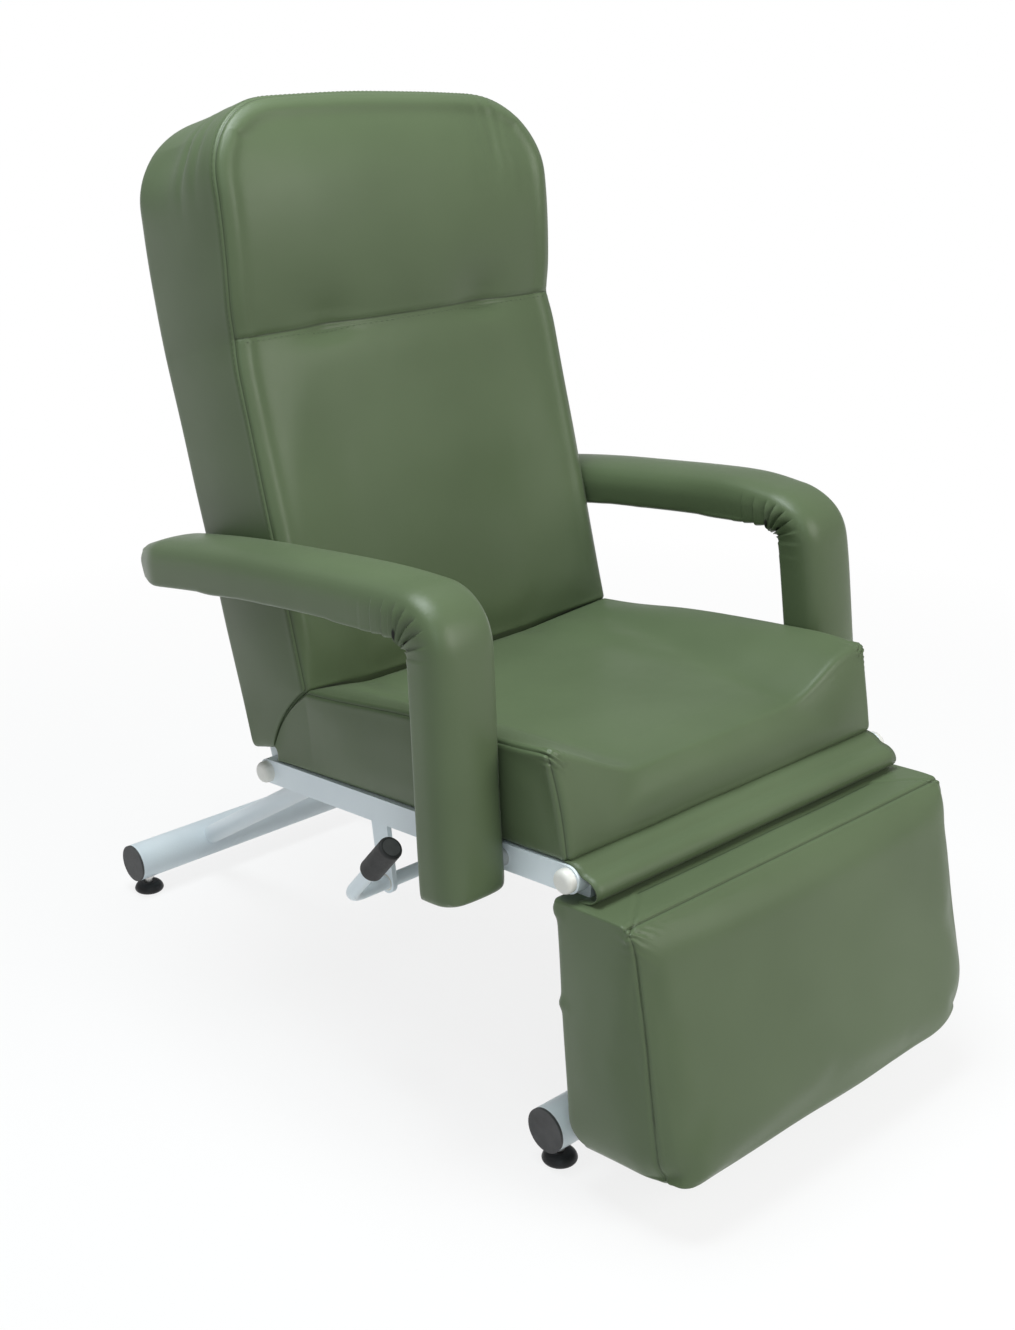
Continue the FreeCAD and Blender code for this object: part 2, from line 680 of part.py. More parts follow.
def head_form():
    """Head section: deepens towards the top, then rounds over with the top corners."""
    half = BACK_WIDTH / 2
    shoulder = BACK_HEIGHT - BACK_TOP_RADIUS
    sections = [head_seam_section()]
    for share in (0.2, 0.6, 1.0):
        height = mixed(HEAD_SEAM_HEIGHT, shoulder, share)
        front = point(BACK, -mixed(HEAD_SEAM_DEPTH, HEAD_DEPTH, share), height)
        rear = point(BACK, BACK_REAR_OFFSET - HEAD_FORWARD * share * share, height)
        sections.append(back_section(rear, front, half, BACK_CROWN))
    for angle in ROUND_OVER_ANGLES:
        turn = math.radians(angle)
        height = shoulder + BACK_TOP_RADIUS * math.sin(turn)
        inset = BACK_TOP_RADIUS * (1 - math.cos(turn))
        front = point(BACK, BACK_TOP_FRONT_SLOPE * inset - HEAD_DEPTH, height)
        rear = point(BACK, BACK_REAR_OFFSET - HEAD_FORWARD - BACK_TOP_REAR_SLOPE * inset, height)
        sections.append(back_section(rear, front, half - inset, BACK_CROWN * math.cos(turn)))
    return loft(sections)


def back_pocket():
    """Recess in the rear of the cushion for the frame, the board and the closing panel."""
    rear = BACK_HEIGHT
    pocket = box(-pocket_half, pocket_half, board_front, rear, BACK_POCKET_BOTTOM, pocket_top)
    return placed(BACK, pocket)


def back_rear_panel():
    front = BACK_REAR_OFFSET - REAR_PANEL_THICKNESS
    panel = box(-pocket_half, pocket_half, front, BACK_REAR_OFFSET, BACK_POCKET_BOTTOM, pocket_top)
    return placed(BACK, panel)


# Legrest: hinge plates, board and cushion
def leg_plate(side):
    low, high = span(side, plate_inner, plate_outer)
    foot = point(LEG, LEGREST_REAR_OFFSET, LEG_PLATE_WIDTH / 2 - LEG_PLATE_LENGTH)
    plate = link_plate(low, high, front_pivot, foot, rail_top, LEG_PLATE_WIDTH / 2)
    return plate.cut(cross_rod(low, high, front_pivot, PIVOT_BOLT_DIAMETER))


def leg_board():
    half = LEGREST_WIDTH / 2 - LEG_BOARD_MARGIN
    rear = LEGREST_REAR_OFFSET - LEG_PLATE_WIDTH / 2
    top = -LEGREST_TOP_DROP - LEG_BOARD_MARGIN / 2
    bottom = LEGREST_HEEL_RISE + LEG_BOARD_MARGIN * 2 - LEGREST_TOP_DROP - LEGREST_LENGTH
    return placed(LEG, box(-half, half, rear - BOARD_THICKNESS, rear, bottom, top))


def legrest_section(rear, rear_height, front_height, half_width, crown):
    share = -(LEGREST_TOP_DROP + front_height) / LEGREST_LENGTH
    front = point(LEG, -mixed(LEGREST_TOP_DEPTH, LEGREST_BOTTOM_DEPTH, share), front_height)
    back_edge = point(LEG, rear, rear_height)
    return pad_section(back_edge, front, half_width, crown, LEGREST_SIDE_DRAW, LEGREST_EDGE_RADIUS)


def legrest_form():
    """Wedge pad that deepens downwards, with rounded lower corners and a raised heel."""
    half = LEGREST_WIDTH / 2
    top = -LEGREST_TOP_DROP
    shoulder = top - LEGREST_LENGTH + LEGREST_CORNER_RADIUS
    rear = LEGREST_REAR_OFFSET
    sections = [legrest_section(rear, top, top, half - LEGREST_TOP_DRAW, LEGREST_CROWN / 4)]
    for share in (0.06, 0.35, 0.7, 1.0):
        height = mixed(top, shoulder, share)
        sections.append(legrest_section(rear, height, height, half, LEGREST_CROWN))
    for angle in ROUND_OVER_ANGLES:
        turn = math.radians(angle)
        inset = LEGREST_CORNER_RADIUS * (1 - math.cos(turn))
        front_height = shoulder - LEGREST_CORNER_RADIUS * math.sin(turn)
        rear_height = shoulder - (LEGREST_CORNER_RADIUS - LEGREST_HEEL_RISE) * math.sin(turn)
        heel = rear - LEGREST_HEEL_SLOPE * inset
        crown = LEGREST_CROWN * math.cos(turn)
        sections.append(legrest_section(heel, rear_height, front_height, half - inset, crown))
    return loft(sections)


# Linking rod: equal cranks on both torque tubes, so the rod keeps its direction
crank_back = math.radians(RECLINE_TRAVEL / 2)
crank_throw = vec(0, LINK_CRANK_RADIUS * math.sin(crank_back), -LINK_CRANK_RADIUS * math.cos(crank_back))
link_low = LINK_OFFSET + LINK_PLATE + CLEVIS_SIDE_GAP
link_high = link_low + LINK_ROD_DIAMETER + 2 * LINK_EYE_LIP


def link_crank(pivot):
    """Crank plate on a torque tube, with the pin that carries the linking rod's eye."""
    pin = pivot + crank_throw
    plate = link_plate(LINK_OFFSET, LINK_OFFSET + LINK_PLATE, pivot, pin, rail_top, LINK_EYE_DIAMETER / 2)
    plate = plate.cut(cross_rod(LINK_OFFSET, LINK_OFFSET + LINK_PLATE, pivot, TORQUE_TUBE_OD))
    end = link_high + CLEVIS_SIDE_GAP
    shape = plate.fuse(cross_rod(LINK_OFFSET, end, pin, PIN_DIAMETER))
    return shape.fuse(cross_rod(end, end + PIN_HEAD, pin, PIN_DIAMETER + 2 * BUSH_WALL)).removeSplitter()


def linking_rod():
    rear = rear_pivot + crank_throw
    front = front_pivot + crank_throw
    middle = (link_low + link_high) / 2
    shape = rod(vec(middle, rear.y, rear.z), vec(middle, front.y, front.z), LINK_ROD_DIAMETER)
    for eye in (rear, front):
        shape = shape.fuse(cross_rod(link_low, link_high, eye, LINK_EYE_DIAMETER))
    for eye in (rear, front):
        bore = PIN_DIAMETER + 2 * RUNNING_CLEARANCE
        shape = shape.cut(cross_rod(link_low, link_high, eye, bore))
    return shape.removeSplitter()


# Locking gas spring: both pins are as far from the rear hinge, so it turns half as fast as the backrest
spring_foot = rear_pivot + vec(0, -SPRING_ARM, 0)
swing = math.radians(180 + SPRING_REST_ANGLE)
spring_head = rear_pivot + vec(0, SPRING_ARM * math.cos(swing), SPRING_ARM * math.sin(swing))
spring_run = spring_foot.sub(spring_head)
spring_length = spring_run.Length
spring_axis = vec(0, spring_run.y, spring_run.z).normalize()
clevis_inner = SPRING_OD / 2 + CLEVIS_BODY_GAP
spring_half_eye = clevis_inner - CLEVIS_SIDE_GAP
clevis_outer = clevis_inner + CLEVIS_PLATE


def clevis_pair(fixed, fixed_radius, eye, bore):
    """Two plates astride the centre plane, from a welded end to an eye with a bore."""
    plates = []
    for side in SIDES:
        low, high = span(side, clevis_inner, clevis_outer)
        plate = link_plate(low, high, fixed, eye, fixed_radius, CLEVIS_EYE_RADIUS)
        plates.append(plate.cut(cross_rod(low, high, eye, bore)))
    return plates


def spring_bracket():
    weld = point(RAIL, MID_CROSS_SETBACK, 0)
    bore = PIN_DIAMETER + 2 * RUNNING_CLEARANCE
    plates = clevis_pair(weld, cross_half, spring_foot, bore)
    return Part.makeCompound([p.cut(cross_block(MID_CROSS_SETBACK)) for p in plates])


def spring_crank():
    """Pair of plates on the backrest's torque tube."""
    plates = clevis_pair(rear_pivot, rail_top, spring_head, PIN_DIAMETER)
    hole = cross_rod(-clevis_outer, clevis_outer, rear_pivot, TORQUE_TUBE_OD)
    return Part.makeCompound([p.cut(hole) for p in plates])


def spring_pin():
    reach = clevis_outer
    pin = cross_rod(-reach, reach, spring_head, PIN_DIAMETER)
    for side in SIDES:
        low, high = span(side, reach, reach + PIN_HEAD)
        pin = pin.fuse(cross_rod(low, high, spring_head, PIN_DIAMETER + 2 * BUSH_WALL))
    return pin.removeSplitter()


def along_spring(start, end, diameter):
    return rod(spring_head + spring_axis * start, spring_head + spring_axis * end, diameter)


def spring_cylinder():
    half_eye = spring_half_eye
    floor = SPRING_NECK + SPRING_GUIDE
    bore_end = SPRING_BODY_LENGTH - SPRING_GUIDE
    shape = along_spring(SPRING_NECK, SPRING_BODY_LENGTH, SPRING_OD)
    shape = shape.cut(along_spring(floor, bore_end, SPRING_OD - 2 * SPRING_WALL))
    guide_bore = SPRING_ROD_DIAMETER + 2 * RUNNING_CLEARANCE
    shape = shape.cut(along_spring(bore_end, SPRING_BODY_LENGTH, guide_bore))
    shape = shape.fuse(along_spring(0, SPRING_NECK, SPRING_NECK))
    shape = shape.fuse(cross_rod(-half_eye, half_eye, spring_head, 2 * CLEVIS_EYE_RADIUS))
    eye_bore = PIN_DIAMETER + 2 * RUNNING_CLEARANCE
    return shape.cut(cross_rod(-half_eye, half_eye, spring_head, eye_bore)).removeSplitter()


def spring_rod():
    """Piston rod with its release head: side trunnions and a bore for the release pin."""
    tip = spring_length - SPRING_ROD_LENGTH
    piston = SPRING_OD - 2 * SPRING_WALL - 2 * SPRING_PISTON_GAP
    half_head = spring_half_eye
    shape = along_spring(tip, spring_length, SPRING_ROD_DIAMETER)
    shape = shape.fuse(along_spring(tip, tip + SPRING_GUIDE, piston))
    shape = shape.fuse(cross_rod(-half_head, half_head, spring_foot, SPRING_HEAD_DIAMETER))
    trunnion = clevis_outer + CLEVIS_SIDE_GAP
    shape = shape.fuse(cross_rod(-trunnion, trunnion, spring_foot, PIN_DIAMETER))
    bore = RELEASE_PIN_DIAMETER + 2 * RUNNING_CLEARANCE
    deep = spring_length + RELEASE_PIN_REACH - RELEASE_PIN_LENGTH - 2 * RELEASE_PIN_TRAVEL
    shape = shape.cut(along_spring(deep, spring_length + SPRING_HEAD_DIAMETER, bore))
    return shape.removeSplitter()


def release_pin():
    tip = spring_length + RELEASE_PIN_REACH
    return along_spring(tip - RELEASE_PIN_LENGTH, tip, RELEASE_PIN_DIAMETER)


# Release lever: bent bar in two bushes, rubber grip, finger at the release pin
lever_pivot = vec(0, FRONT_PIVOT_Y + LEVER_SETBACK, LEVER_HEIGHT)
lever_tip = vec(-LEVER_OUT, lever_pivot.y - LEVER_GRIP_FORWARD, LEVER_HEIGHT + LEVER_GRIP_RISE)
lever_corner = vec(-LEVER_OUT, lever_pivot.y, LEVER_HEIGHT)
lever_rise = lever_tip.sub(lever_corner)
lever_lift = vec(0, lever_rise.y, lever_rise.z).normalize()
lever_bush_id = LEVER_BAR_DIAMETER + 2 * RUNNING_CLEARANCE
lever_bush_od = lever_bush_id + 2 * LEVER_BUSH_WALL
hanger_middle = (rail_outer + rail_inner) / 2
hanger_span = (-hanger_middle - HANGER_PLATE / 2, -hanger_middle + HANGER_PLATE / 2)
bracket_low = clevis_outer + LEVER_BRACKET_GAP
bracket_span = (bracket_low, bracket_low + LEVER_BRACKET_PLATE)


def lever_bar():
    """Round bar along X, bent through a quarter turn towards the sitter's hand."""
    start = vec(bracket_span[1] + LEVER_BAR_OVERHANG, lever_pivot.y, lever_pivot.z)
    bend_in = lever_corner + RIGHT * LEVER_BEND_RADIUS
    bend_out = lever_corner + lever_lift * LEVER_BEND_RADIUS
    centre = lever_corner + RIGHT * LEVER_BEND_RADIUS + lever_lift * LEVER_BEND_RADIUS
    halfway = centre - (RIGHT + lever_lift) * (LEVER_BEND_RADIUS * math.sqrt(0.5))
    path = Part.Wire([line(start, bend_in), arc(bend_in, halfway, bend_out), line(bend_out, lever_tip)])
    section = Part.Wire(Part.makeCircle(LEVER_BAR_DIAMETER / 2, start, RIGHT))
    return path.makePipeShell([section], True, False)


def lever_grip():
    """Rubber sleeve with a closed, rounded end."""
    end = lever_tip + lever_lift * LEVER_GRIP_END
    sleeve = rod(end - lever_lift * LEVER_GRIP_LENGTH, end, LEVER_GRIP_DIAMETER)
    rims = [e for e in sleeve.Edges if e.Curve.TypeId == "Part::GeomCircle"]
    rounded = sleeve.makeFillet(LEVER_GRIP_ROUNDING, rims)
    bore = rod(end - lever_lift * LEVER_GRIP_LENGTH, lever_tip, LEVER_BAR_DIAMETER)
    return rounded.cut(bore)


def lever_support(low, high, top, top_radius, carrier):
    plate = link_plate(low, high, top, lever_pivot, top_radius, HANGER_EYE_RADIUS)
    return plate.cut(carrier).cut(cross_rod(low, high, lever_pivot, lever_bush_od))


def lever_hanger():
    """Plate under the left rail."""
    top = point(RAIL, LEVER_SETBACK + HANGER_TOP_RADIUS, 0)
    above = placed(RAIL, box(-rail_outer, 0, 0, rail_length, -rail_top, RAIL_HEIGHT))
    return lever_support(hanger_span[0], hanger_span[1], top, HANGER_TOP_RADIUS, above)


def lever_bracket():
    """Plate under the middle cross member."""
    top = point(RAIL, MID_CROSS_SETBACK, 0)
    above = placed(RAIL, box(0, rail_outer, 0, rail_length, -cross_half, RAIL_HEIGHT))
    return lever_support(bracket_span[0], bracket_span[1], top, HANGER_TOP_RADIUS, above)


def lever_bush(low, high):
    sleeve = cross_rod(low, high, lever_pivot, lever_bush_od)
    return sleeve.cut(cross_rod(low, high, lever_pivot, lever_bush_id))


def lever_finger():
    """Arm on the bar between the bracket's plates, with its round tip facing the release pin."""
    turn = math.radians(FINGER_TIP_ANGLE)
    reach = FINGER_TIP_GAP + FINGER_TIP_RADIUS
    tip = spring_foot + vec(0, reach * math.cos(turn), reach * math.sin(turn))
    half = FINGER_WIDTH / 2
    plate = link_plate(-half, half, lever_pivot, tip, FINGER_HUB_RADIUS, FINGER_TIP_RADIUS)
    return plate.cut(cross_rod(-half, half, lever_pivot, LEVER_BAR_DIAMETER))


# Armrests: a post square to the rail, a round elbow and a long pad that bends slightly down to the rear
arm_inner = rail_outer + ARM_GAP
arm_middle = arm_inner + ARM_WIDTH / 2
arm_block_face = arm_inner + ARM_BOARD_MARGIN
arm_skin = ARM_THICKNESS + ARM_BOARD_PROUD
elbow_radius = ARM_BEND_RADIUS + arm_skin
elbow_turn = 90 + ARM_FALL
pad_radius = ARM_PAD_LENGTH / math.radians(ARM_PAD_BEND)


def outward(turn):
    """Direction out of the armrest's outer face after the L has turned through an angle."""
    return vec(0, -math.cos(math.radians(turn)), math.sin(math.radians(turn)))


def rise_on_rail(setback, height):
    """Distance square to the rail, from its centre line up to a height above the floor."""
    return (height - point(RAIL, setback, 0).z) / math.cos(math.radians(rail_pitch))


elbow_setback = ARM_POST_SETBACK + elbow_radius
elbow_centre = point(RAIL, elbow_setback, rise_on_rail(elbow_setback, ARM_TOP_HEIGHT - elbow_radius))
post_foot = rise_on_rail(arm_bolt_middle, ARM_POST_BOTTOM)
pad_centre = elbow_centre + outward(elbow_turn) * (elbow_radius - pad_radius)


def elbow_place(turn, inward):
    return elbow_centre + outward(turn) * (elbow_radius - inward)


def pad_place(bend, inward):
    return pad_centre + outward(elbow_turn + bend) * (pad_radius - inward)


def arm_section(side, outer, inner, width):
    return pad_section(inner, outer, width / 2, ARM_CROWN, ARM_DRAW, ARM_EDGE_RADIUS, side * arm_middle)


def arm_form(side):
    """Padded L: the post is lofted, the elbow and the pad are turned, and the tip narrows."""
    soft = ARM_FOOT_SOFTNESS
    front = ARM_POST_SETBACK
    rear = ARM_POST_SETBACK + ARM_THICKNESS
    foot_front = point(RAIL, front + soft / 2, post_foot)
    foot_rear = point(RAIL, rear - soft / 2, post_foot)
    foot = arm_section(side, foot_front, foot_rear, ARM_WIDTH - soft)
    lift = post_foot + soft
    full = arm_section(side, point(RAIL, front, lift), point(RAIL, rear, lift), ARM_WIDTH)
    head = arm_section(side, elbow_place(rail_pitch, 0), elbow_place(rail_pitch, ARM_THICKNESS), ARM_WIDTH)
    post = loft([foot, full], True).fuse(loft([full, head], True))
    elbow = Part.Face(head).revolve(elbow_centre, RIGHT * -1, elbow_turn - rail_pitch)
    tip_bend = ARM_PAD_BEND * ARM_TIP_LENGTH / ARM_PAD_LENGTH
    straight_bend = ARM_PAD_BEND - tip_bend
    near = arm_section(side, pad_place(0, 0), pad_place(0, ARM_THICKNESS), ARM_WIDTH)
    pad = Part.Face(near).revolve(pad_centre, RIGHT * -1, straight_bend)
    far_outer = pad_place(straight_bend, 0)
    far = arm_section(side, far_outer, pad_place(straight_bend, ARM_THICKNESS), ARM_WIDTH)
    thinner = (ARM_THICKNESS - ARM_TIP_THICKNESS) / 2
    tip_outer = pad_place(ARM_PAD_BEND, thinner)
    tip = arm_section(side, tip_outer, pad_place(ARM_PAD_BEND, ARM_THICKNESS - thinner), ARM_TIP_WIDTH)
    return post.fuse(elbow).fuse(pad).fuse(loft([far, tip], True)).removeSplitter()


def arm_board(side):
    """Bent board on the inner side of the L, with a block at its foot that takes the bolts."""
    low, high = span(side, arm_block_face, arm_inner + ARM_WIDTH - ARM_BOARD_MARGIN)
    bottom = post_foot + ARM_BOARD_RISE
    end = ARM_PAD_BEND * (1 - ARM_BOARD_SHORTFALL / ARM_PAD_LENGTH)

    def run(inward):
        places = [point(RAIL, ARM_POST_SETBACK + inward, bottom)]
        places += [elbow_place(mixed(rail_pitch, elbow_turn, share), inward) for share in (0, 0.5, 1)]
        return places + [pad_place(end * share, inward) for share in (0.5, 1)]

    a = run(arm_skin)
    b = run(arm_skin - ARM_BOARD_THICKNESS)
    edges = [line(a[0], a[1]), arc(a[1], a[2], a[3]), arc(a[3], a[4], a[5]), line(a[5], b[5])]
    edges += [arc(b[5], b[4], b[3]), arc(b[3], b[2], b[1]), line(b[1], b[0]), line(b[0], a[0])]
    board = extruded(edges, low, high)
    front = ARM_POST_SETBACK + ARM_BLOCK_COVER
    block = box(low, high, front, ARM_POST_SETBACK + arm_skin, bottom, bottom + ARM_BLOCK_HEIGHT)
    return board.fuse(placed(RAIL, block)).removeSplitter()


def leaned_in(side, shape):
    """Tips an armrest towards the sitter about the face that its spacers meet."""
    hub = point(RAIL, arm_bolt_middle, 0, side * arm_block_face)
    return shape.rotated(hub, vec(0, 1, 0), -side * ARM_LEAN_IN)


def arm_spacer(side, setback):
    """Sleeve that runs on into the armrest's block, where it is cut to the leaning face."""
    low, high = span(side, rail_outer, arm_block_face + ARM_BOARD_THICKNESS)
    centre = point(RAIL, setback, 0)
    sleeve = cross_rod(low, high, centre, ARM_SPACER_DIAMETER)
    return sleeve.cut(cross_rod(low, high, centre, ARM_BOLT_DIAMETER))


def arm_bolt(side, setback):
    """Bolt from inside the rail, through a spacer, into the armrest's board."""
    centre = point(RAIL, setback, 0)
    low, high = span(side, web_inner - ARM_BOLT_HEAD_HEIGHT, web_inner)
    shape = cross_rod(low, high, centre, ARM_BOLT_HEAD_DIAMETER)
    low, high = span(side, web_inner, arm_block_face + ARM_BOARD_THICKNESS)
    return shape.fuse(cross_rod(low, high, centre, ARM_BOLT_DIAMETER)).removeSplitter()


# Vinyl apron over the front hinge
def hinge_apron():
    """Thin sheet from the seat's front edge, rolled forward over the hinge and down to the legrest's top."""
    half = SEAT_WIDTH / 2 - APRON_INSET
    thick = APRON_THICKNESS
    start = rail_top + APRON_GAP
    end = APRON_GAP - LEGREST_TOP_DROP

    def run(inset):
        places = [point(UPRIGHT_FRONT, -APRON_GAP, start + thick - inset)]
        places.append(point(UPRIGHT_FRONT, -APRON_REACH / 2, APRON_RISE - inset))
        places.append(point(UPRIGHT_FRONT, inset - APRON_REACH, APRON_RISE / 2))
        places.append(point(LEG, inset - APRON_REACH + APRON_TUCK, end))
        return places

    a = run(0)
    b = run(thick)
    edges = [arc(a[0], a[1], a[2]), line(a[2], a[3]), line(a[3], b[3])]
    edges += [line(b[3], b[2]), arc(b[2], b[1], b[0]), line(b[0], a[0])]
    return extruded(edges, -half, half)


def group(shapes):
    return Part.makeCompound(shapes)


def build():
    parts = {}
    parts["base_rear_tube"] = base_tube(rear_tube_y)
    parts["base_front_tube"] = base_tube(front_tube_y)
    parts["tube_end_caps"] = group([tube_end_cap(s, y) for y in (rear_tube_y, front_tube_y) for s in SIDES])
    parts["foot_inserts"] = group([foot_insert(x, y) for x, y in foot_places])
    parts["foot_studs"] = group([foot_stud(x, y) for x, y in foot_places])
    parts["foot_glides"] = group([foot_glide(x, y) for x, y in foot_places])
    names = {-1: "left", 1: "right"}
    for side in SIDES:
        parts["rear_leg_" + names[side]] = leg(side, rear_tube_y, REAR_CROSS_SETBACK)
        parts["front_leg_" + names[side]] = leg(side, front_tube_y, front_cross_setback)
        parts["side_rail_" + names[side]] = side_rail(side)
    crosses = {"front": front_cross_setback, "middle": MID_CROSS_SETBACK, "rear": REAR_CROSS_SETBACK}
    for name, setback in crosses.items():
        parts[name + "_cross_member"] = cross_member(setback)
    pivots = (front_pivot, rear_pivot)
    parts["rail_bushes"] = group([rail_bush(s, p) for p in pivots for s in SIDES])
    parts["hinge_caps"] = group([hinge_cap(s, p) for p in pivots for s in SIDES])
    seat_screws = [seat_screw(x, c) for c in (front_cross_setback, REAR_CROSS_SETBACK) for x in screw_places]
    board = seat_board()
    parts["seat_cushion"] = seat_form().cut(board)
    for screw in seat_screws:
        board = board.cut(screw)
    parts["seat_board"] = board
    parts["seat_screws"] = group(seat_screws)

    parts["back_torque_tube"] = torque_tube(rear_pivot)
    parts["back_pivot_bolts"] = group([pivot_bolt(s, rear_pivot) for s in SIDES])
    for side in SIDES:
        parts["back_arm_" + names[side]] = back_arm(side)
    heights = (BACK_CROSS_LOW, BACK_CROSS_HIGH)
    parts["back_cross_tubes"] = group([back_cross_tube(h) for h in heights])
    back_screws = [back_screw(x, h) for h in heights for x in screw_places]
    board = back_board()
    for screw in back_screws:
        board = board.cut(screw)
    parts["back_board"] = board
    parts["back_screws"] = group(back_screws)
    cushion = lower_back_form().fuse(head_form()).cut(back_pocket())
    for side in SIDES:
        cushion = cushion.cut(back_arm(side))
    parts["back_cushion"] = cushion.removeSplitter()
    parts["back_rear_panel"] = back_rear_panel()

    parts["leg_torque_tube"] = torque_tube(front_pivot)
    parts["leg_pivot_bolts"] = group([pivot_bolt(s, front_pivot) for s in SIDES])
    plates = [leg_plate(s) for s in SIDES]
    for side, plate in zip(SIDES, plates):
        parts["leg_hinge_plate_" + names[side]] = plate
    front_crank = link_crank(front_pivot)
    board = leg_board()
    cushion = legrest_form().cut(board)
    for piece in plates + [front_crank]:
        cushion = cushion.cut(piece)
        board = board.cut(piece)
    parts["leg_cushion"] = cushion
    parts["leg_board"] = board

    parts["link_crank_rear"] = link_crank(rear_pivot)
    parts["link_crank_front"] = front_crank
    parts["linking_rod"] = linking_rod()

    parts["spring_bracket"] = spring_bracket()
    parts["spring_crank"] = spring_crank()
    parts["spring_pin"] = spring_pin()
    parts["spring_cylinder"] = spring_cylinder()
    parts["spring_rod"] = spring_rod()
    parts["release_pin"] = release_pin()

    parts["lever_hanger"] = lever_hanger()
    parts["lever_bracket"] = lever_bracket()
    parts["lever_bushes"] = group([lever_bush(*hanger_span), lever_bush(*bracket_span)])
    parts["lever_bar"] = lever_bar()
    parts["lever_grip"] = lever_grip()
    parts["lever_finger"] = lever_finger()

    bolts = []
    spacers = []
    for side in SIDES:
        side_bolts = [arm_bolt(side, u) for u in arm_bolt_setbacks]
        board = leaned_in(side, arm_board(side))
        side_spacers = [arm_spacer(side, u).cut(board) for u in arm_bolt_setbacks]
        pad = leaned_in(side, arm_form(side)).cut(board)
        for piece in side_spacers + side_bolts:
            pad = pad.cut(piece)
        for bolt in side_bolts:
            board = board.cut(bolt)
        parts["arm_pad_" + names[side]] = pad
        parts["arm_board_" + names[side]] = board
        bolts += side_bolts
        spacers += side_spacers
    parts["arm_bolts"] = group(bolts)
    parts["arm_spacers"] = group(spacers)
    parts["hinge_apron"] = hinge_apron()
    return parts


os.makedirs("parts", exist_ok=True)
parts = build()
for name, shape in parts.items():
    shape.exportStep(os.path.join("parts", name + ".step"))
whole = Part.makeCompound(list(parts.values())).BoundBox
print("nodes", len(parts))
print("box", [round(v, 2) for v in (whole.XMin, whole.XMax, whole.YMin, whole.YMax, whole.ZMin, whole.ZMax)])
for name, shape in parts.items():
    volume = round(shape.Volume / 1000, 2)
    print(name, "solids", len(shape.Solids), "valid", shape.isValid(), "volume", volume, "cm3")
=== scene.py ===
# %% [markdown]
# A reclining treatment chair: padded vinyl seat, backrest, legrest and armrests on a light grey steel frame.
# The frame, hinges, lever and gas spring come ready made in the loaded model and only need their finishes.
# The padding is what this lesson makes: every pad starts as a block of foam, is carried into its form,
# swelled as a stuffed cover, subdivided, and then worked over with seams, dimples and folds.

# %% Load the frame
import bmesh
import bpy
import json
import math
from mathutils import Matrix, Vector, noise
from mathutils.bvhtree import BVHTree


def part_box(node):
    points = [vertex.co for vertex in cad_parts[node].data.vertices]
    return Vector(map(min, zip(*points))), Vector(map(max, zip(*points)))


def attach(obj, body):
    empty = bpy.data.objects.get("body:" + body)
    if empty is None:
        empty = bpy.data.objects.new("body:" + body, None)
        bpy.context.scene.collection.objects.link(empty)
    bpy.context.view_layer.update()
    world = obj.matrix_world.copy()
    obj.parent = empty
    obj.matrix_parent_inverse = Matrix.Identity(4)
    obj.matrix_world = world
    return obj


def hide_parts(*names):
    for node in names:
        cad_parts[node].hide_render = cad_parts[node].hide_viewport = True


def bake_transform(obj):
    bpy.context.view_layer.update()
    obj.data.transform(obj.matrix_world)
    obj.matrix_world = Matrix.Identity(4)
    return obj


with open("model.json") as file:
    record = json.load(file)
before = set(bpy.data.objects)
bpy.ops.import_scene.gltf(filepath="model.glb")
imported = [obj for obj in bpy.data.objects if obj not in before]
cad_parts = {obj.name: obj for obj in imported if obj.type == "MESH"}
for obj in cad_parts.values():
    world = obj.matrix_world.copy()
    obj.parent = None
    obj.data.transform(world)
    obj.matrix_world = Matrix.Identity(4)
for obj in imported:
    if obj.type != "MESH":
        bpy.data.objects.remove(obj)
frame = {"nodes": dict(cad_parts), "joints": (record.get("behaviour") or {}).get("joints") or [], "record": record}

MM = 0.001
TINY = 1e-6
scene = bpy.context.scene
nodes = frame["nodes"]
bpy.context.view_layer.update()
pivots = {joint["name"]: Vector(joint["pos_m"]) for joint in frame["joints"] if "pos_m" in joint}
front_pivot = pivots["legrest_raise"]
rear_pivot = pivots["back_recline"]

# %% [markdown]
# Each member of the chair leans on its own hinge line, so each gets a small frame of its own: Y runs to the
# rear and Z up the member. Sizes can then be written as a maker would measure them, along and across it.

# %% Frames on the hinge lines
RAIL_TOP = 15 * MM
rail_run = rear_pivot - front_pivot
rail_length = rail_run.length
rail_pitch = math.atan2(-rail_run.z, rail_run.y)
BACK_LEAN = math.radians(16.7)
LEG_LEAN = math.radians(5.0)


def leaning(pivot, lean):
    return Matrix.Translation(pivot) @ Matrix.Rotation(-lean, 4, "X")


RAIL = leaning(front_pivot, rail_pitch)
BACK = leaning(rear_pivot, BACK_LEAN)
LEG = leaning(front_pivot, LEG_LEAN)


def at(member, across, along):
    """Point on the chair's centre plane, measured on a leaning member."""
    return member @ Vector((0, across, along))


def mix(a, b, share):
    return a + (b - a) * share


def clamp(share):
    return min(1.0, max(0.0, share))


def ramp(value, low, high):
    """0 below low, 1 above high, and smooth between them."""
    share = clamp((value - low) / (high - low))
    return share * share * (3 - 2 * share)


def bump(value, centre, width):
    """A soft bell, 1 at its centre."""
    return math.exp(-((value - centre) / width) ** 2)


def uneven(spot, height, pace):
    """Slow hills and hollows of foam under a cover."""
    return height * noise.noise(spot * pace)


def streaks(spot, across, up, seed):
    """Noise with its own pace across and up a pad."""
    return noise.noise(Vector((spot.x * across, seed, spot.z * up)))


print("rail pitch", round(math.degrees(rail_pitch), 2), "rail length", round(rail_length, 4))

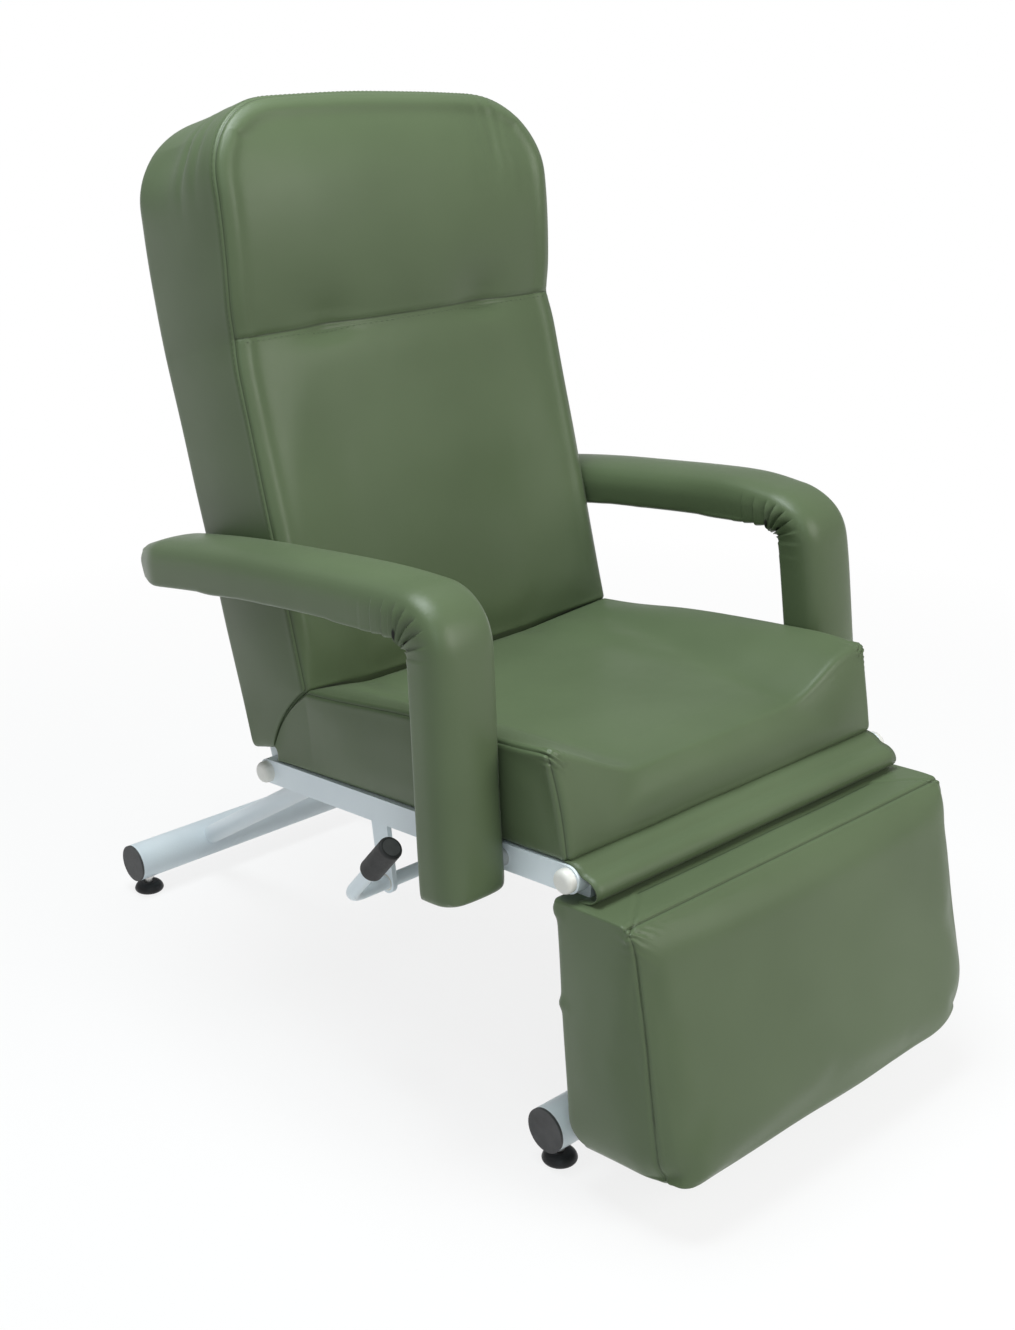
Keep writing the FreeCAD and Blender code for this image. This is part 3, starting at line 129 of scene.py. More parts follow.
# %% [markdown]
# The vinyl is a coated cloth: a green film with a fine pressed grain and a soft sheen. It could be one flat
# colour, but real sheet has slow drifts of tone and a grain that breaks up the highlight. Shade is painted
# into the colour in the seams, the arm folds and the pleat mouths, where the cover falls into shade. How far
# each point lies from a seam is written on each pad as an attribute, so the painted shade follows the sewing.

# %% Vinyl
def start_material(name):
    material = bpy.data.materials.new(name)
    material.use_nodes = True
    tree = material.node_tree
    tree.nodes.clear()
    output = tree.nodes.new("ShaderNodeOutputMaterial")
    shader = tree.nodes.new("ShaderNodeBsdfPrincipled")
    tree.links.new(shader.outputs["BSDF"], output.inputs["Surface"])
    return material, tree, shader


def add_node(tree, kind, **values):
    node = tree.nodes.new(kind)
    for key, value in values.items():
        if hasattr(node, key):
            setattr(node, key, value)
        else:
            node.inputs[key.replace("_", " ")].default_value = value
    return node


def set_sockets(node, values):
    for socket, value in values.items():
        node.inputs[socket].default_value = value


def noise_on_object(tree, scale, detail=3.0, roughness=0.5, stretch=None):
    """Noise in the piece's own metres, stretched along an axis where the finish has a direction."""
    coords = add_node(tree, "ShaderNodeTexCoord")
    source = coords.outputs["Object"]
    if stretch:
        mapping = add_node(tree, "ShaderNodeMapping")
        mapping.inputs["Scale"].default_value = stretch
        tree.links.new(source, mapping.inputs["Vector"])
        source = mapping.outputs["Vector"]
    texture = add_node(tree, "ShaderNodeTexNoise", Scale=scale, Detail=detail, Roughness=roughness)
    tree.links.new(source, texture.inputs["Vector"])
    return texture.outputs["Fac"]


NOISE_SPAN = (0.3, 0.7)


def drifting_tone(tree, factor, deep, pale):
    """Colour that drifts between two tones over the middle of a noise's range."""
    node = add_node(tree, "ShaderNodeValToRGB")
    for element, position, colour in zip(node.color_ramp.elements, NOISE_SPAN, (deep, pale)):
        element.position = position
        element.color = (*colour, 1.0)
    tree.links.new(factor, node.inputs["Fac"])
    return node.outputs["Color"]


def value_range(tree, factor, low, high, to_low, to_high):
    node = add_node(tree, "ShaderNodeMapRange")
    set_sockets(node, {"From Min": low, "From Max": high, "To Min": to_low, "To Max": to_high})
    tree.links.new(factor, node.inputs["Value"])
    return node.outputs["Result"]


def bump_from(tree, shader, height, distance, strength, below=None):
    node = add_node(tree, "ShaderNodeBump", Strength=strength, Distance=distance)
    tree.links.new(height, node.inputs["Height"])
    if below is not None:
        tree.links.new(below, node.inputs["Normal"])
    tree.links.new(node.outputs["Normal"], shader.inputs["Normal"])
    return node.outputs["Normal"]


def multiply_colours(tree, first, second):
    node = add_node(tree, "ShaderNodeMix", data_type="RGBA", blend_type="MULTIPLY")
    node.inputs["Factor"].default_value = 1.0
    tree.links.new(first, node.inputs["A"])
    tree.links.new(second, node.inputs["B"])
    return node.outputs["Result"]


VINYL_DEEP = (0.086, 0.12, 0.06)
VINYL_PALE = (0.103, 0.142, 0.073)
VINYL_ROUGH = (0.3, 0.39)
VINYL_GLOSS = {"Specular IOR Level": 0.28, "Sheen Weight": 0.06, "Sheen Roughness": 0.4}
DRIFT_SCALE = 5.0
PATCH_SCALE = 14.0
GRAIN_SCALE = 950
GRAIN_LINE = 0.25
GRAIN_BUMP = (0.12 * MM, 0.35)
SLACK_SCALE = 38.0
SLACK_BUMP = (1.2 * MM, 0.16)
# Painted shade: within SEAM_LINE of a seam or arm fold the colour drops to SEAM_SHADE, for the shade in the
# groove.
SEAM_LINE = 1.3 * MM
SEAM_SHADE = 0.5
# Painted shade: in the pleat mouths the colour drops to SLIT_SHADE, nearly black.
SLIT_SPAN = (0.35, 0.75)
SLIT_SHADE = 0.05


def vinyl_material():
    material, tree, shader = start_material("sage_vinyl")
    tone = drifting_tone(tree, noise_on_object(tree, DRIFT_SCALE, 2.0), VINYL_DEEP, VINYL_PALE)
    # The colour is multiplied by painted shade along the seams and folds and in the pleat mouths.
    seam = add_node(tree, "ShaderNodeAttribute", attribute_name="seam")
    line = value_range(tree, seam.outputs["Fac"], 0.0, SEAM_LINE, SEAM_SHADE, 1.0)
    slit_shade = add_node(tree, "ShaderNodeAttribute", attribute_name="slit_shade")
    painted_slit_shade = value_range(tree, slit_shade.outputs["Fac"], *SLIT_SPAN, 1.0, SLIT_SHADE)
    shade = add_node(tree, "ShaderNodeMath", operation="MULTIPLY")
    tree.links.new(line, shade.inputs[0])
    tree.links.new(painted_slit_shade, shade.inputs[1])
    tree.links.new(multiply_colours(tree, tone, shade.outputs["Value"]), shader.inputs["Base Color"])
    patches = noise_on_object(tree, PATCH_SCALE)
    tree.links.new(value_range(tree, patches, *NOISE_SPAN, *VINYL_ROUGH), shader.inputs["Roughness"])
    set_sockets(shader, VINYL_GLOSS)
    grain = add_node(tree, "ShaderNodeTexVoronoi", feature="DISTANCE_TO_EDGE", Scale=GRAIN_SCALE)
    coords = add_node(tree, "ShaderNodeTexCoord")
    tree.links.new(coords.outputs["Object"], grain.inputs["Vector"])
    pressed = value_range(tree, grain.outputs["Distance"], 0.0, GRAIN_LINE, 0.0, 1.0)
    fine = bump_from(tree, shader, pressed, *GRAIN_BUMP)
    slack = noise_on_object(tree, SLACK_SCALE, 2.0)
    bump_from(tree, shader, slack, *SLACK_BUMP, fine)
    return material


VINYL = vinyl_material()
print("vinyl", len(VINYL.node_tree.nodes), "nodes")

# %% [markdown]
# Powder coat is sprayed dust melted into a skin: light grey, half glossy, with a faint orange peel. The plain
# parts are moulded plastic, rubber, zinc plate and raw plywood. They share one helper, because each is a base
# tone with a drift, a roughness range and a relief of its own scale.

# %% Hard finishes
WEAR_FINENESS = 4
RELIEF_STRENGTH = 0.3


def plain_finish(name, deep, pale, rough, drift_scale, relief_scale, relief_depth, metal=0.0, stretch=None):
    material, tree, shader = start_material(name)
    drift = noise_on_object(tree, drift_scale, 3.0, 0.55, stretch)
    tree.links.new(drifting_tone(tree, drift, deep, pale), shader.inputs["Base Color"])
    shader.inputs["Metallic"].default_value = metal
    wear = noise_on_object(tree, drift_scale * WEAR_FINENESS, 4.0, 0.6, stretch)
    tree.links.new(value_range(tree, wear, *NOISE_SPAN, *rough), shader.inputs["Roughness"])
    relief = noise_on_object(tree, relief_scale, 2.0, 0.5, stretch)
    bump_from(tree, shader, relief, relief_depth, RELIEF_STRENGTH)
    return material


FINISHES = {
    "frame_paint": plain_finish(
        "grey_powder_coat", (0.72, 0.79, 0.84), (0.79, 0.86, 0.9), (0.3, 0.42), 9, 420, 0.4 * MM),
    "cap_white": plain_finish(
        "white_moulding", (0.72, 0.71, 0.66), (0.8, 0.79, 0.75), (0.32, 0.45), 40, 600, 0.2 * MM),
    "cap_dark": plain_finish(
        "dark_moulding", (0.045, 0.045, 0.046), (0.07, 0.07, 0.072), (0.5, 0.65), 60, 900, 0.3 * MM),
    "foot_black": plain_finish(
        "black_moulding", (0.014, 0.014, 0.015), (0.024, 0.024, 0.026), (0.4, 0.55), 60, 900, 0.2 * MM),
    "grip_rubber": plain_finish(
        "black_rubber", (0.02, 0.02, 0.02), (0.034, 0.034, 0.034), (0.55, 0.7), 70, 700, 0.5 * MM),
    "steel": plain_finish(
        "zinc_plate", (0.5, 0.5, 0.49), (0.62, 0.62, 0.6), (0.28, 0.45), 60, 500, 0.3 * MM, metal=1.0),
    "spring_black": plain_finish(
        "black_enamel", (0.012, 0.012, 0.013), (0.02, 0.02, 0.021), (0.18, 0.3), 30, 500, 0.2 * MM),
    "plywood": plain_finish(
        "raw_plywood", (0.3, 0.2, 0.115), (0.46, 0.33, 0.2), (0.6, 0.8), 24, 160, 0.6 * MM,
        stretch=(1.0, 0.12, 1.0)),
    "nylon": plain_finish(
        "natural_nylon", (0.62, 0.61, 0.56), (0.7, 0.69, 0.64), (0.4, 0.5), 50, 500, 0.2 * MM),
    "vinyl": VINYL,
}
slot_of = {part["node"]: part["material_slot"] for part in frame["record"]["subparts"]}
for name, node in nodes.items():
    node.data.materials.clear()
    node.data.materials.append(FINISHES[slot_of[name]])
print("finishes", len(FINISHES))

# %% [markdown]
# A pad could be carved from a lump of many points, but an upholsterer starts from a block of foam, and so
# does this lesson: a cube is scaled to the pad's width, depth and height and cut into strips. Its edges are
# bevelled, or rounded by the pad's form where they need radii of their own, and every point is carried into
# that leaning, tapered form. Each point remembers its place in the block, so a seam is found again.

# %% Foam blocks
EDGE_SLACK = 3 * MM
EDGE_STRIPS = (4 * MM, 9 * MM)
EDGE_SEGMENTS = 3
CUT_TOLERANCE = 1e-5


def walls_of(size):
    """Lowest and highest corner of a block, centred in X, with Y and Z from 0."""
    return Vector((-size[0] / 2, 0, 0)), Vector((size[0] / 2, size[1], size[2]))


def foam_block(size, cell, lines=(), edge_radius=0.0, square_axes=()):
    """Block cut into cells; lines are (axis, place) cuts where a seam needs fine strips.
    Edges along the square axes aren't bevelled, because the pad's form rounds them."""
    bm = bmesh.new()
    bmesh.ops.create_cube(bm, size=1.0)
    bmesh.ops.translate(bm, vec=(0, 0.5, 0.5), verts=bm.verts)
    bmesh.ops.scale(bm, vec=size, verts=bm.verts)
    for axis in range(3):
        edges = [e for e in bm.edges if abs((e.verts[0].co - e.verts[1].co)[axis]) > TINY]
        bmesh.ops.subdivide_edges(bm, edges=edges, cuts=max(1, round(size[axis] / cell) - 1))
    walls = walls_of(size)

    def bevelled(edge):
        on = [axis for axis in range(3) for wall in walls
              if all(abs(v.co[axis] - wall[axis]) < TINY for v in edge.verts)]
        along = set(range(3)) - set(on)
        return len(on) == 2 and not along & set(square_axes)

    if edge_radius:
        rim = [edge for edge in bm.edges if bevelled(edge)]
        bmesh.ops.bevel(bm, geom=rim, offset=edge_radius, offset_type="OFFSET", segments=EDGE_SEGMENTS,
                        profile=0.5, affect="EDGES", material=-1, clamp_overlap=True)
    for axis, place in lines:
        normal = Vector([1.0 if a == axis else 0.0 for a in range(3)])
        everything = bm.verts[:] + bm.edges[:] + bm.faces[:]
        bmesh.ops.bisect_plane(bm, geom=everything, dist=CUT_TOLERANCE,
                               plane_co=normal * place, plane_no=normal)
    block = bm.verts.layers.float_vector.new("block")
    for v in bm.verts:
        v[block] = v.co
    return bm


def carried(bm, form):
    """Every point of the block goes to its place in the pad's form."""
    for v in bm.verts:
        v.co = form(v.co.copy())
    bmesh.ops.recalc_face_normals(bm, faces=bm.faces)
    return bm


def round_off(first, second, radius):
    """Depths under two faces that meet at an edge: near it, rings of a square become rings of a circle."""
    over = (radius - first, radius - second)
    if min(over) <= 0:
        return first, second
    scale = max(over) / math.hypot(*over)
    return radius - over[0] * scale, radius - over[1] * scale


def edge_strips(size, depths):
    """Cuts beside the block's faces, so that a rounded edge gets enough points."""
    low, high = walls_of(size)
    cuts = []
    for axis in range(3):
        for depth in depths:
            cuts += [(axis, low[axis] + depth), (axis, high[axis] - depth)]
    return cuts


def edge_gap(first, second):
    """Distance along the skin from the edge between two faces, from a point's depths under them."""
    return max(abs(first - second), min(first, second) - EDGE_SLACK)


def object_from(name, bm):
    mesh = bpy.data.meshes.new(name)
    bm.to_mesh(mesh)
    bm.free()
    obj = bpy.data.objects.new(name, mesh)
    scene.collection.objects.link(obj)
    return obj


print("edge strips at", [round(depth / MM) for depth in EDGE_STRIPS], "mm")

# %% [markdown]
# A stuffed cover is tight where it is sewn or held and full between. Blender's cloth gives just that: air
# pressure inside, the held places pinned, no gravity, twenty frames. How far a point may travel is capped,
# because the foam under a real cover doesn't let it balloon.

# %% Swelling a cover
SWELL_FRAMES = 20
COVER_STIFFNESS = 30.0
COVER_BENDING = 2.0
NO_SEAM = 1.0
SEAM_ROLL_SHARE = 0.25
SEAM_ROLL_PLACE = 3
SEAM_ROLL_SPREAD = 1.6


def swell(obj, held, pressure, cap):
    rest = [v.co.copy() for v in obj.data.vertices]
    block = obj.data.attributes["block"].data
    group = obj.vertex_groups.new(name="held")
    group.add([i for i, item in enumerate(block) if held(Vector(item.vector))], 1.0, "REPLACE")
    cover = obj.modifiers.new("cover", "CLOTH")
    cover.settings.vertex_group_mass = group.name
    cover.settings.use_pressure = True
    cover.settings.uniform_pressure_force = pressure
    cover.settings.effector_weights.gravity = 0.0
    cover.settings.tension_stiffness = COVER_STIFFNESS
    cover.settings.compression_stiffness = COVER_STIFFNESS
    cover.settings.bending_stiffness = COVER_BENDING
    for step in range(1, SWELL_FRAMES + 1):
        scene.frame_set(step)
    swollen = obj.evaluated_get(bpy.context.evaluated_depsgraph_get()).to_mesh()
    moves = [Vector(v.co) - start for v, start in zip(swollen.vertices, rest)]
    obj.modifiers.remove(cover)
    obj.vertex_groups.clear()
    for v, start, move in zip(obj.data.vertices, rest, moves):
        v.co = start + move * min(1.0, cap / max(move.length, TINY))
    scene.frame_set(1)
    furthest = max(move.length for move in moves)
    print(obj.name, "swelled by up to", round(furthest / MM, 1), "mm, capped at", cap / MM)


def refine(obj, levels):
    """Subdivides for good, so that seams and gathers can be worked into the finer skin."""
    smooth = obj.modifiers.new("smooth", "SUBSURF")
    smooth.levels = smooth.render_levels = levels
    fine = bpy.data.meshes.new_from_object(obj.evaluated_get(bpy.context.evaluated_depsgraph_get()))
    obj.modifiers.remove(smooth)
    obj.data = fine
    for polygon in fine.polygons:
        polygon.use_smooth = True


def work_skin(obj, depth_at, seam_at, slit_shade_at=None):
    """Presses the skin in or out along its normals, and writes how far each point is from a seam or fold
    and how far into a pleat mouth it lies; the vinyl paints shade from both.
    """
    mesh = obj.data
    block = [Vector(item.vector) for item in mesh.attributes["block"].data]
    normals = [v.normal.copy() for v in mesh.vertices]
    for v, spot, normal in zip(mesh.vertices, block, normals):
        v.co += normal * depth_at(spot)
    seams = mesh.attributes.new("seam", "FLOAT", "POINT")
    seams.data.foreach_set("value", [abs(seam_at(spot)) for spot in block])
    slit_shades = mesh.attributes.new("slit_shade", "FLOAT", "POINT")
    slit_shades.data.foreach_set("value", [slit_shade_at(spot) if slit_shade_at else 0.0 for spot in block])
    mesh.attributes.remove(mesh.attributes["block"])
    mesh.update()


def finish_pad(obj, body, fill, *stands_for):
    obj.data.materials.append(VINYL)
    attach(obj, body)
    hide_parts(*stands_for)
    print(obj.name, len(obj.data.polygons), "faces")


def seam_press(distance, depth, width):
    """Groove of a sewn seam with the soft roll of the cover on both sides."""
    roll = bump(abs(distance), SEAM_ROLL_PLACE * width, SEAM_ROLL_SPREAD * width)
    return -depth * bump(distance, 0, width) + SEAM_ROLL_SHARE * depth * roll


# %% [markdown]
# The seat and the backrest meet along a bulged line behind the sitter. Both pads take their shape from it,
# one a little in front of it and one a little behind. The seat's top is dished, so the crease between them
# sinks in the middle.

# %% Where seat and backrest meet
SEAT_THICKNESS = 111 * MM
SEAT_REAR_FALL = 10 * MM
MEETING_GAP = 0.6 * MM
MEETING_BULGE = 10 * MM
MEETING_LOW_SETBACK = 15 * MM
MEETING_TOP_SETBACK = 94 * MM
MEETING_LOW_HEIGHT = 30 * MM
SEAT_REAR_DISH = 27 * MM
SEAT_DISH_FLAT = 126 * MM
SEAT_DISH_EDGE = 234 * MM
SEAT_DISH_SOFTNESS = 0.45
meeting_low = at(RAIL, rail_length - MEETING_LOW_SETBACK, MEETING_LOW_HEIGHT)
meeting_high = at(RAIL, rail_length - MEETING_TOP_SETBACK, RAIL_TOP + SEAT_THICKNESS - SEAT_REAR_FALL)


def meeting_point(share, offset):
    run = meeting_high - meeting_low
    to_rear = Vector((0, run.z, -run.y)).normalized()
    return meeting_low + run * share + to_rear * (MEETING_BULGE * 4 * share * (1 - share) + offset)


def dish_share(x):
    """1 on the flat of the dished top, 0 at its sides."""
    reach = clamp((abs(x) - SEAT_DISH_FLAT) / (SEAT_DISH_EDGE - SEAT_DISH_FLAT))
    return 1 - mix(reach, ramp(reach, 0, 1), SEAT_DISH_SOFTNESS)


def crease_share(x):
    """How far up the meeting line the dished seat reaches."""
    return 1 - SEAT_REAR_DISH * dish_share(x) / (meeting_high.z - meeting_low.z)


print("meeting line", round((meeting_high - meeting_low).length, 4), "m long")

# %% [markdown]
# The seat: a deep block whose front edge is scooped for the thighs and whose top is dished from side to side.
# One panel runs over the top and down the front and is sewn to two sides, so the seams follow the top's two
# side edges and the two front corners.

# %% Seat
SEAT_WIDTH = 489 * MM
SEAT_FRONT_LEAN = 13 * MM
SEAT_LEAN_REACH = 160 * MM
SEAT_FRONT_DISH = 48 * MM
SEAT_SIDE_DRAW = 2.5 * MM
SEAT_EAR_RISE = {-1: 6 * MM, 1: -9 * MM}
SEAT_EAR_SPREAD = {-1: 6 * MM, 1: 9 * MM}
SEAT_EAR_REACH = 40 * MM
SEAT_EAR_SHARE = 0.8
SEAT_FAR_FULLNESS = 4 * MM
SEAT_FAR_REACH = 150 * MM
SEAT_EDGE_RADIUS = 8 * MM
SEAT_FRONT_FULLNESS = 3 * MM
SEAT_FRONT_REACH = 14 * MM
SEAT_TAIL = 120 * MM
SEAT_SEAM_HOLD = 8 * MM
SEAT_FLOOR_HOLD = 2 * MM
SEAT_UNEVEN = (0.8 * MM, 11)
PUCKER_ACROSS = (6 * MM, 16 * MM)
PUCKER_DOWN = (4 * MM, 22 * MM)
PUCKER_PACE = 0.9 / MM
PAD_CELL = 14 * MM
CREASE_STRIPS = (-4 * MM, 0, 4 * MM)
SEAM_DEPTH = 1.6 * MM
SEAM_WIDTH = 2.2 * MM
seat_half = SEAT_WIDTH / 2
seat_rear_top = rail_length - MEETING_TOP_SETBACK
seat_rear_floor = rail_length - MEETING_LOW_SETBACK
seat_block = Vector((SEAT_WIDTH, seat_rear_top + SEAT_TAIL, SEAT_THICKNESS))


def seat_form(spot):
    lift = spot.z / SEAT_THICKNESS
    tail = max(0.0, spot.y - seat_rear_top) / SEAT_TAIL
    run = min(spot.y, seat_rear_top)
    dish = dish_share(spot.x)
    floor = at(RAIL, mix(run, seat_rear_floor, tail), RAIL_TOP)
    to_rear = ramp(run, seat_rear_top / 2, seat_rear_top)
    sunk_share = crease_share(spot.x)
    sunk = meeting_point(sunk_share, -MEETING_GAP / 2)
    lean = SEAT_FRONT_LEAN * (1 - ramp(run, 0, SEAT_LEAN_REACH))
    roof = at(RAIL, run + lean, RAIL_TOP + SEAT_THICKNESS - SEAT_REAR_FALL * to_rear)
    roof.z -= mix(SEAT_FRONT_DISH, SEAT_REAR_DISH, run / seat_rear_top) * dish
    roof.y += (sunk.y - meeting_high.y) * to_rear
    if tail > 0:
        roof = meeting_point(sunk_share * (1 - tail), -MEETING_GAP / 2)
    place = floor.lerp(roof, lift)
    ear = bump(run, 0, SEAT_EAR_REACH) * lift ** 3 * ramp(abs(spot.x), SEAT_EAR_SHARE * seat_half, seat_half)
    side = 1 if spot.x > 0 else -1
    place.z += SEAT_EAR_RISE[side] * ear
    draw = SEAT_SIDE_DRAW * math.sin(math.pi * lift)
    place.x = spot.x * (1 - draw / seat_half) + side * SEAT_EAR_SPREAD[side] * ear
    place.x += SEAT_FAR_FULLNESS * ramp(spot.x, seat_half / 2, seat_half) * bump(run, 0, SEAT_FAR_REACH)
    return place


def seat_edge_distance(spot):
    """Distance along the skin from the sewn edges: the top's two sides and the two front corners."""
    from_side = seat_half - abs(spot.x)
    return min(edge_gap(SEAT_THICKNESS - spot.z, from_side), edge_gap(from_side, spot.y))


def seat_skin(spot):
    below = SEAT_THICKNESS - spot.z
    from_side = seat_half - abs(spot.x)
    depth = seam_press(seat_edge_distance(spot), SEAM_DEPTH, SEAM_WIDTH)
    on_front = bump(spot.y, 0, SEAT_FRONT_REACH)
    depth += SEAT_FRONT_FULLNESS * on_front * math.sin(math.pi * clamp(spot.z / SEAT_THICKNESS))
    corner = bump(from_side, *PUCKER_ACROSS) * bump(below, *PUCKER_DOWN) * on_front
    depth += SEAM_DEPTH * corner * math.sin((spot.z + from_side) * PUCKER_PACE)
    return depth + uneven(spot, *SEAT_UNEVEN)


def on_seat_hold(spot):
    """Where the cover is held: along its edges, on the board below and in the crease."""
    front_edge = edge_gap(SEAT_THICKNESS - spot.z, spot.y)
    at_edge = min(seat_edge_distance(spot), front_edge) < SEAT_SEAM_HOLD
    return at_edge or spot.z < SEAT_FLOOR_HOLD or spot.y > seat_rear_top


rear_strips = [(1, seat_rear_top + offset) for offset in CREASE_STRIPS]
bm = foam_block(seat_block, PAD_CELL, rear_strips, SEAT_EDGE_RADIUS)
seat = object_from("seat_pad", carried(bm, seat_form))
swell(seat, on_seat_hold, pressure=2.5, cap=5 * MM)
refine(seat, levels=2)
work_skin(seat, seat_skin, seat_edge_distance)
finish_pad(seat, "chair_frame", 0.8, "seat_cushion")

# %% [markdown]
# The backrest is one tall block: a narrow tail behind the seat, a lumbar part, and above a cross seam the
# head part, which leans forward and rounds over into the top corners. The cross seam is drawn in at two
# spots, and the band round the front panel folds where it turns the top corners.

# %% Backrest
BACK_WIDTH = 489 * MM
BACK_HEIGHT = 751 * MM
BACK_TAIL_HEIGHT = 27 * MM
BACK_TAIL_REAR = 25 * MM
BACK_REAR_OFFSET = 30 * MM
HEAD_SEAM_HEIGHT = 497 * MM
HEAD_SEAM_DEPTH = 119 * MM
HEAD_SEAM_SINK = 2.5 * MM
HEAD_SEAM_REACH = 22 * MM
HEAD_SEAM_SHARE = 0.86
HEAD_DEPTH = 156 * MM
HEAD_FORWARD = 14 * MM
TOP_RADIUS = 95 * MM
REAR_TOP_RADIUS = 90 * MM
CREASE_FADE = 270 * MM
TOP_FRONT_SLOPE = 0.2
TOP_REAR_SLOPE = 0.4
BACK_CROWN = 8 * MM
HEAD_SLUMP = 12 * MM
HEAD_DOME = 6 * MM
HEAD_DOME_FALL = 1.6
SEAM_PINCH = 4 * MM
SEAM_PINCH_REACH = 20 * MM
BACK_EDGE_RADIUS = 10 * MM
BACK_DEPTH = 160 * MM
BACK_CELL = 16 * MM
back_half = BACK_WIDTH / 2
back_shoulder = BACK_HEIGHT - TOP_RADIUS
back_run = BACK_HEIGHT - BACK_TAIL_HEIGHT
crease = BACK.inverted() @ meeting_point(1.0, MEETING_GAP / 2)


def back_faces(height, share, sunk):
    """Front and rear points at a height; the sunk crease lies at a share of the meeting line."""
    if height < sunk.z:
        climb = (height - BACK_TAIL_HEIGHT) / (sunk.z - BACK_TAIL_HEIGHT)
        rear = at(BACK, mix(BACK_TAIL_REAR, BACK_REAR_OFFSET, climb), height)
        return meeting_point(share * climb, MEETING_GAP / 2), rear
    front = mix(sunk.y, -HEAD_SEAM_DEPTH, min(1.0, (height - sunk.z) / (HEAD_SEAM_HEIGHT - sunk.z)))
    rear = BACK_REAR_OFFSET
    if height > HEAD_SEAM_HEIGHT:
        share = min(1.0, (height - HEAD_SEAM_HEIGHT) / (back_shoulder - HEAD_SEAM_HEIGHT))
        front = -mix(HEAD_SEAM_DEPTH, HEAD_DEPTH, (share + math.sin(share * math.pi / 2)) / 2)
        rear = BACK_REAR_OFFSET - HEAD_FORWARD * share * share
    if height > back_shoulder:
        over = min(1.0, (height - back_shoulder) / TOP_RADIUS)
        inset = TOP_RADIUS * (1 - math.sqrt(1 - over * over))
        front += TOP_FRONT_SLOPE * inset
        rear -= TOP_REAR_SLOPE * inset
    return at(BACK, front, height), at(BACK, rear, height)


def back_form(spot):
    depth = spot.y / BACK_DEPTH
    radius = mix(TOP_RADIUS, REAR_TOP_RADIUS, depth)
    from_side, from_top = round_off(back_half - abs(spot.x), back_run - spot.z, radius)
    x = math.copysign(back_half - from_side, spot.x)
    height = BACK_HEIGHT - from_top
    share = crease_share(x)
    sunk = BACK.inverted() @ meeting_point(share, MEETING_GAP / 2)
    if height < crease.z:
        height = mix(BACK_TAIL_HEIGHT, sunk.z, (height - BACK_TAIL_HEIGHT) / (crease.z - BACK_TAIL_HEIGHT))
    elif height < CREASE_FADE:
        height = mix(sunk.z, CREASE_FADE, (height - crease.z) / (CREASE_FADE - crease.z))
    front, rear = back_faces(height, share, sunk)
    crown = BACK_CROWN * (1 - (x / back_half) ** 2) * ramp(height, sunk.z, CREASE_FADE)
    inside = 1 - ramp(abs(x), HEAD_SEAM_SHARE * back_half, back_half)
    crown -= HEAD_SEAM_SINK * bump(height, HEAD_SEAM_HEIGHT, HEAD_SEAM_REACH) * inside
    outward = (front - rear).normalized()
    place = front.lerp(rear, depth) + outward * crown * (1 - depth) ** 2
    dome = HEAD_DOME * (1 - HEAD_DOME_FALL * (x / back_half) ** 2)
    slump = HEAD_SLUMP * ramp(x, -back_half, back_half)
    place.z += (dome - slump) * ramp(height, HEAD_SEAM_HEIGHT, BACK_HEIGHT)
    pinch = SEAM_PINCH * bump(height, HEAD_SEAM_HEIGHT, SEAM_PINCH_REACH) * (1 - depth) ** 3
    place.x = x * (1 - pinch / back_half)
    return place


FLANGE_WIDTH = 6 * MM
FLANGE_SEAM = (0.45 * MM, 1.6 * MM)
ROLL_INSET = 17 * MM
ROLL_WIDTH = 9 * MM
ROLL_FULLNESS = 3.4 * MM
CROSS_SEAM_DEPTH = 1.0 * MM
DIMPLE_SPREAD = 118 * MM
DIMPLE_RADIUS = 34 * MM
DIMPLE_DEPTH = 9 * MM
DIMPLE_FLARE = 0.35
DIMPLE_RISE = 40 * MM
DIMPLE_FALL = 14 * MM
HEAD_PLEAT = (165 * MM, 42 * MM)
HEAD_PLEAT_HEIGHTS = (610 * MM, 690 * MM)
HEAD_PLEAT_DEPTH = 2.8 * MM
HEAD_PLEAT_PACE = (62, 7, 7.0)
CORNER_SHARE = 0.6
CORNER_FOLDS = (back_shoulder + 62 * MM, 44 * MM)
BAND_FOLDS = ((0.24, 1.8 * MM), (0.42, 3.2 * MM))
BAND_FOLD_WIDTH = 5 * MM
BAND_FOLD_WANDER = 10 * MM
BAND_FOLD_PACE = (12, 12, 5.0)
BAND_SINK = 6 * MM
BAND_SINK_SHARES = (0.62, 0.22)
BACK_UNEVEN = (0.9 * MM, 9)
BACK_SEAM_HOLD = 9 * MM
BACK_BOARD_SHARE = 0.93
BACK_TAIL_HOLD = 60 * MM
CROSS_STRIPS = (-9 * MM, -3.5 * MM, 0, 3.5 * MM, 9 * MM)


def back_rim_distance(spot):
    """Signed distance from the seam between the front panel and the band round it: negative on the panel."""
    from_rim = min(back_half - abs(spot.x), back_run - spot.z, BACK_DEPTH / 2)
    return spot.y - from_rim


def back_seam_distance(spot):
    rim = back_rim_distance(spot)
    cross = abs(spot.z + BACK_TAIL_HEIGHT - HEAD_SEAM_HEIGHT) if rim < 0 else NO_SEAM
    return min(abs(rim), cross, abs(rim - FLANGE_WIDTH))


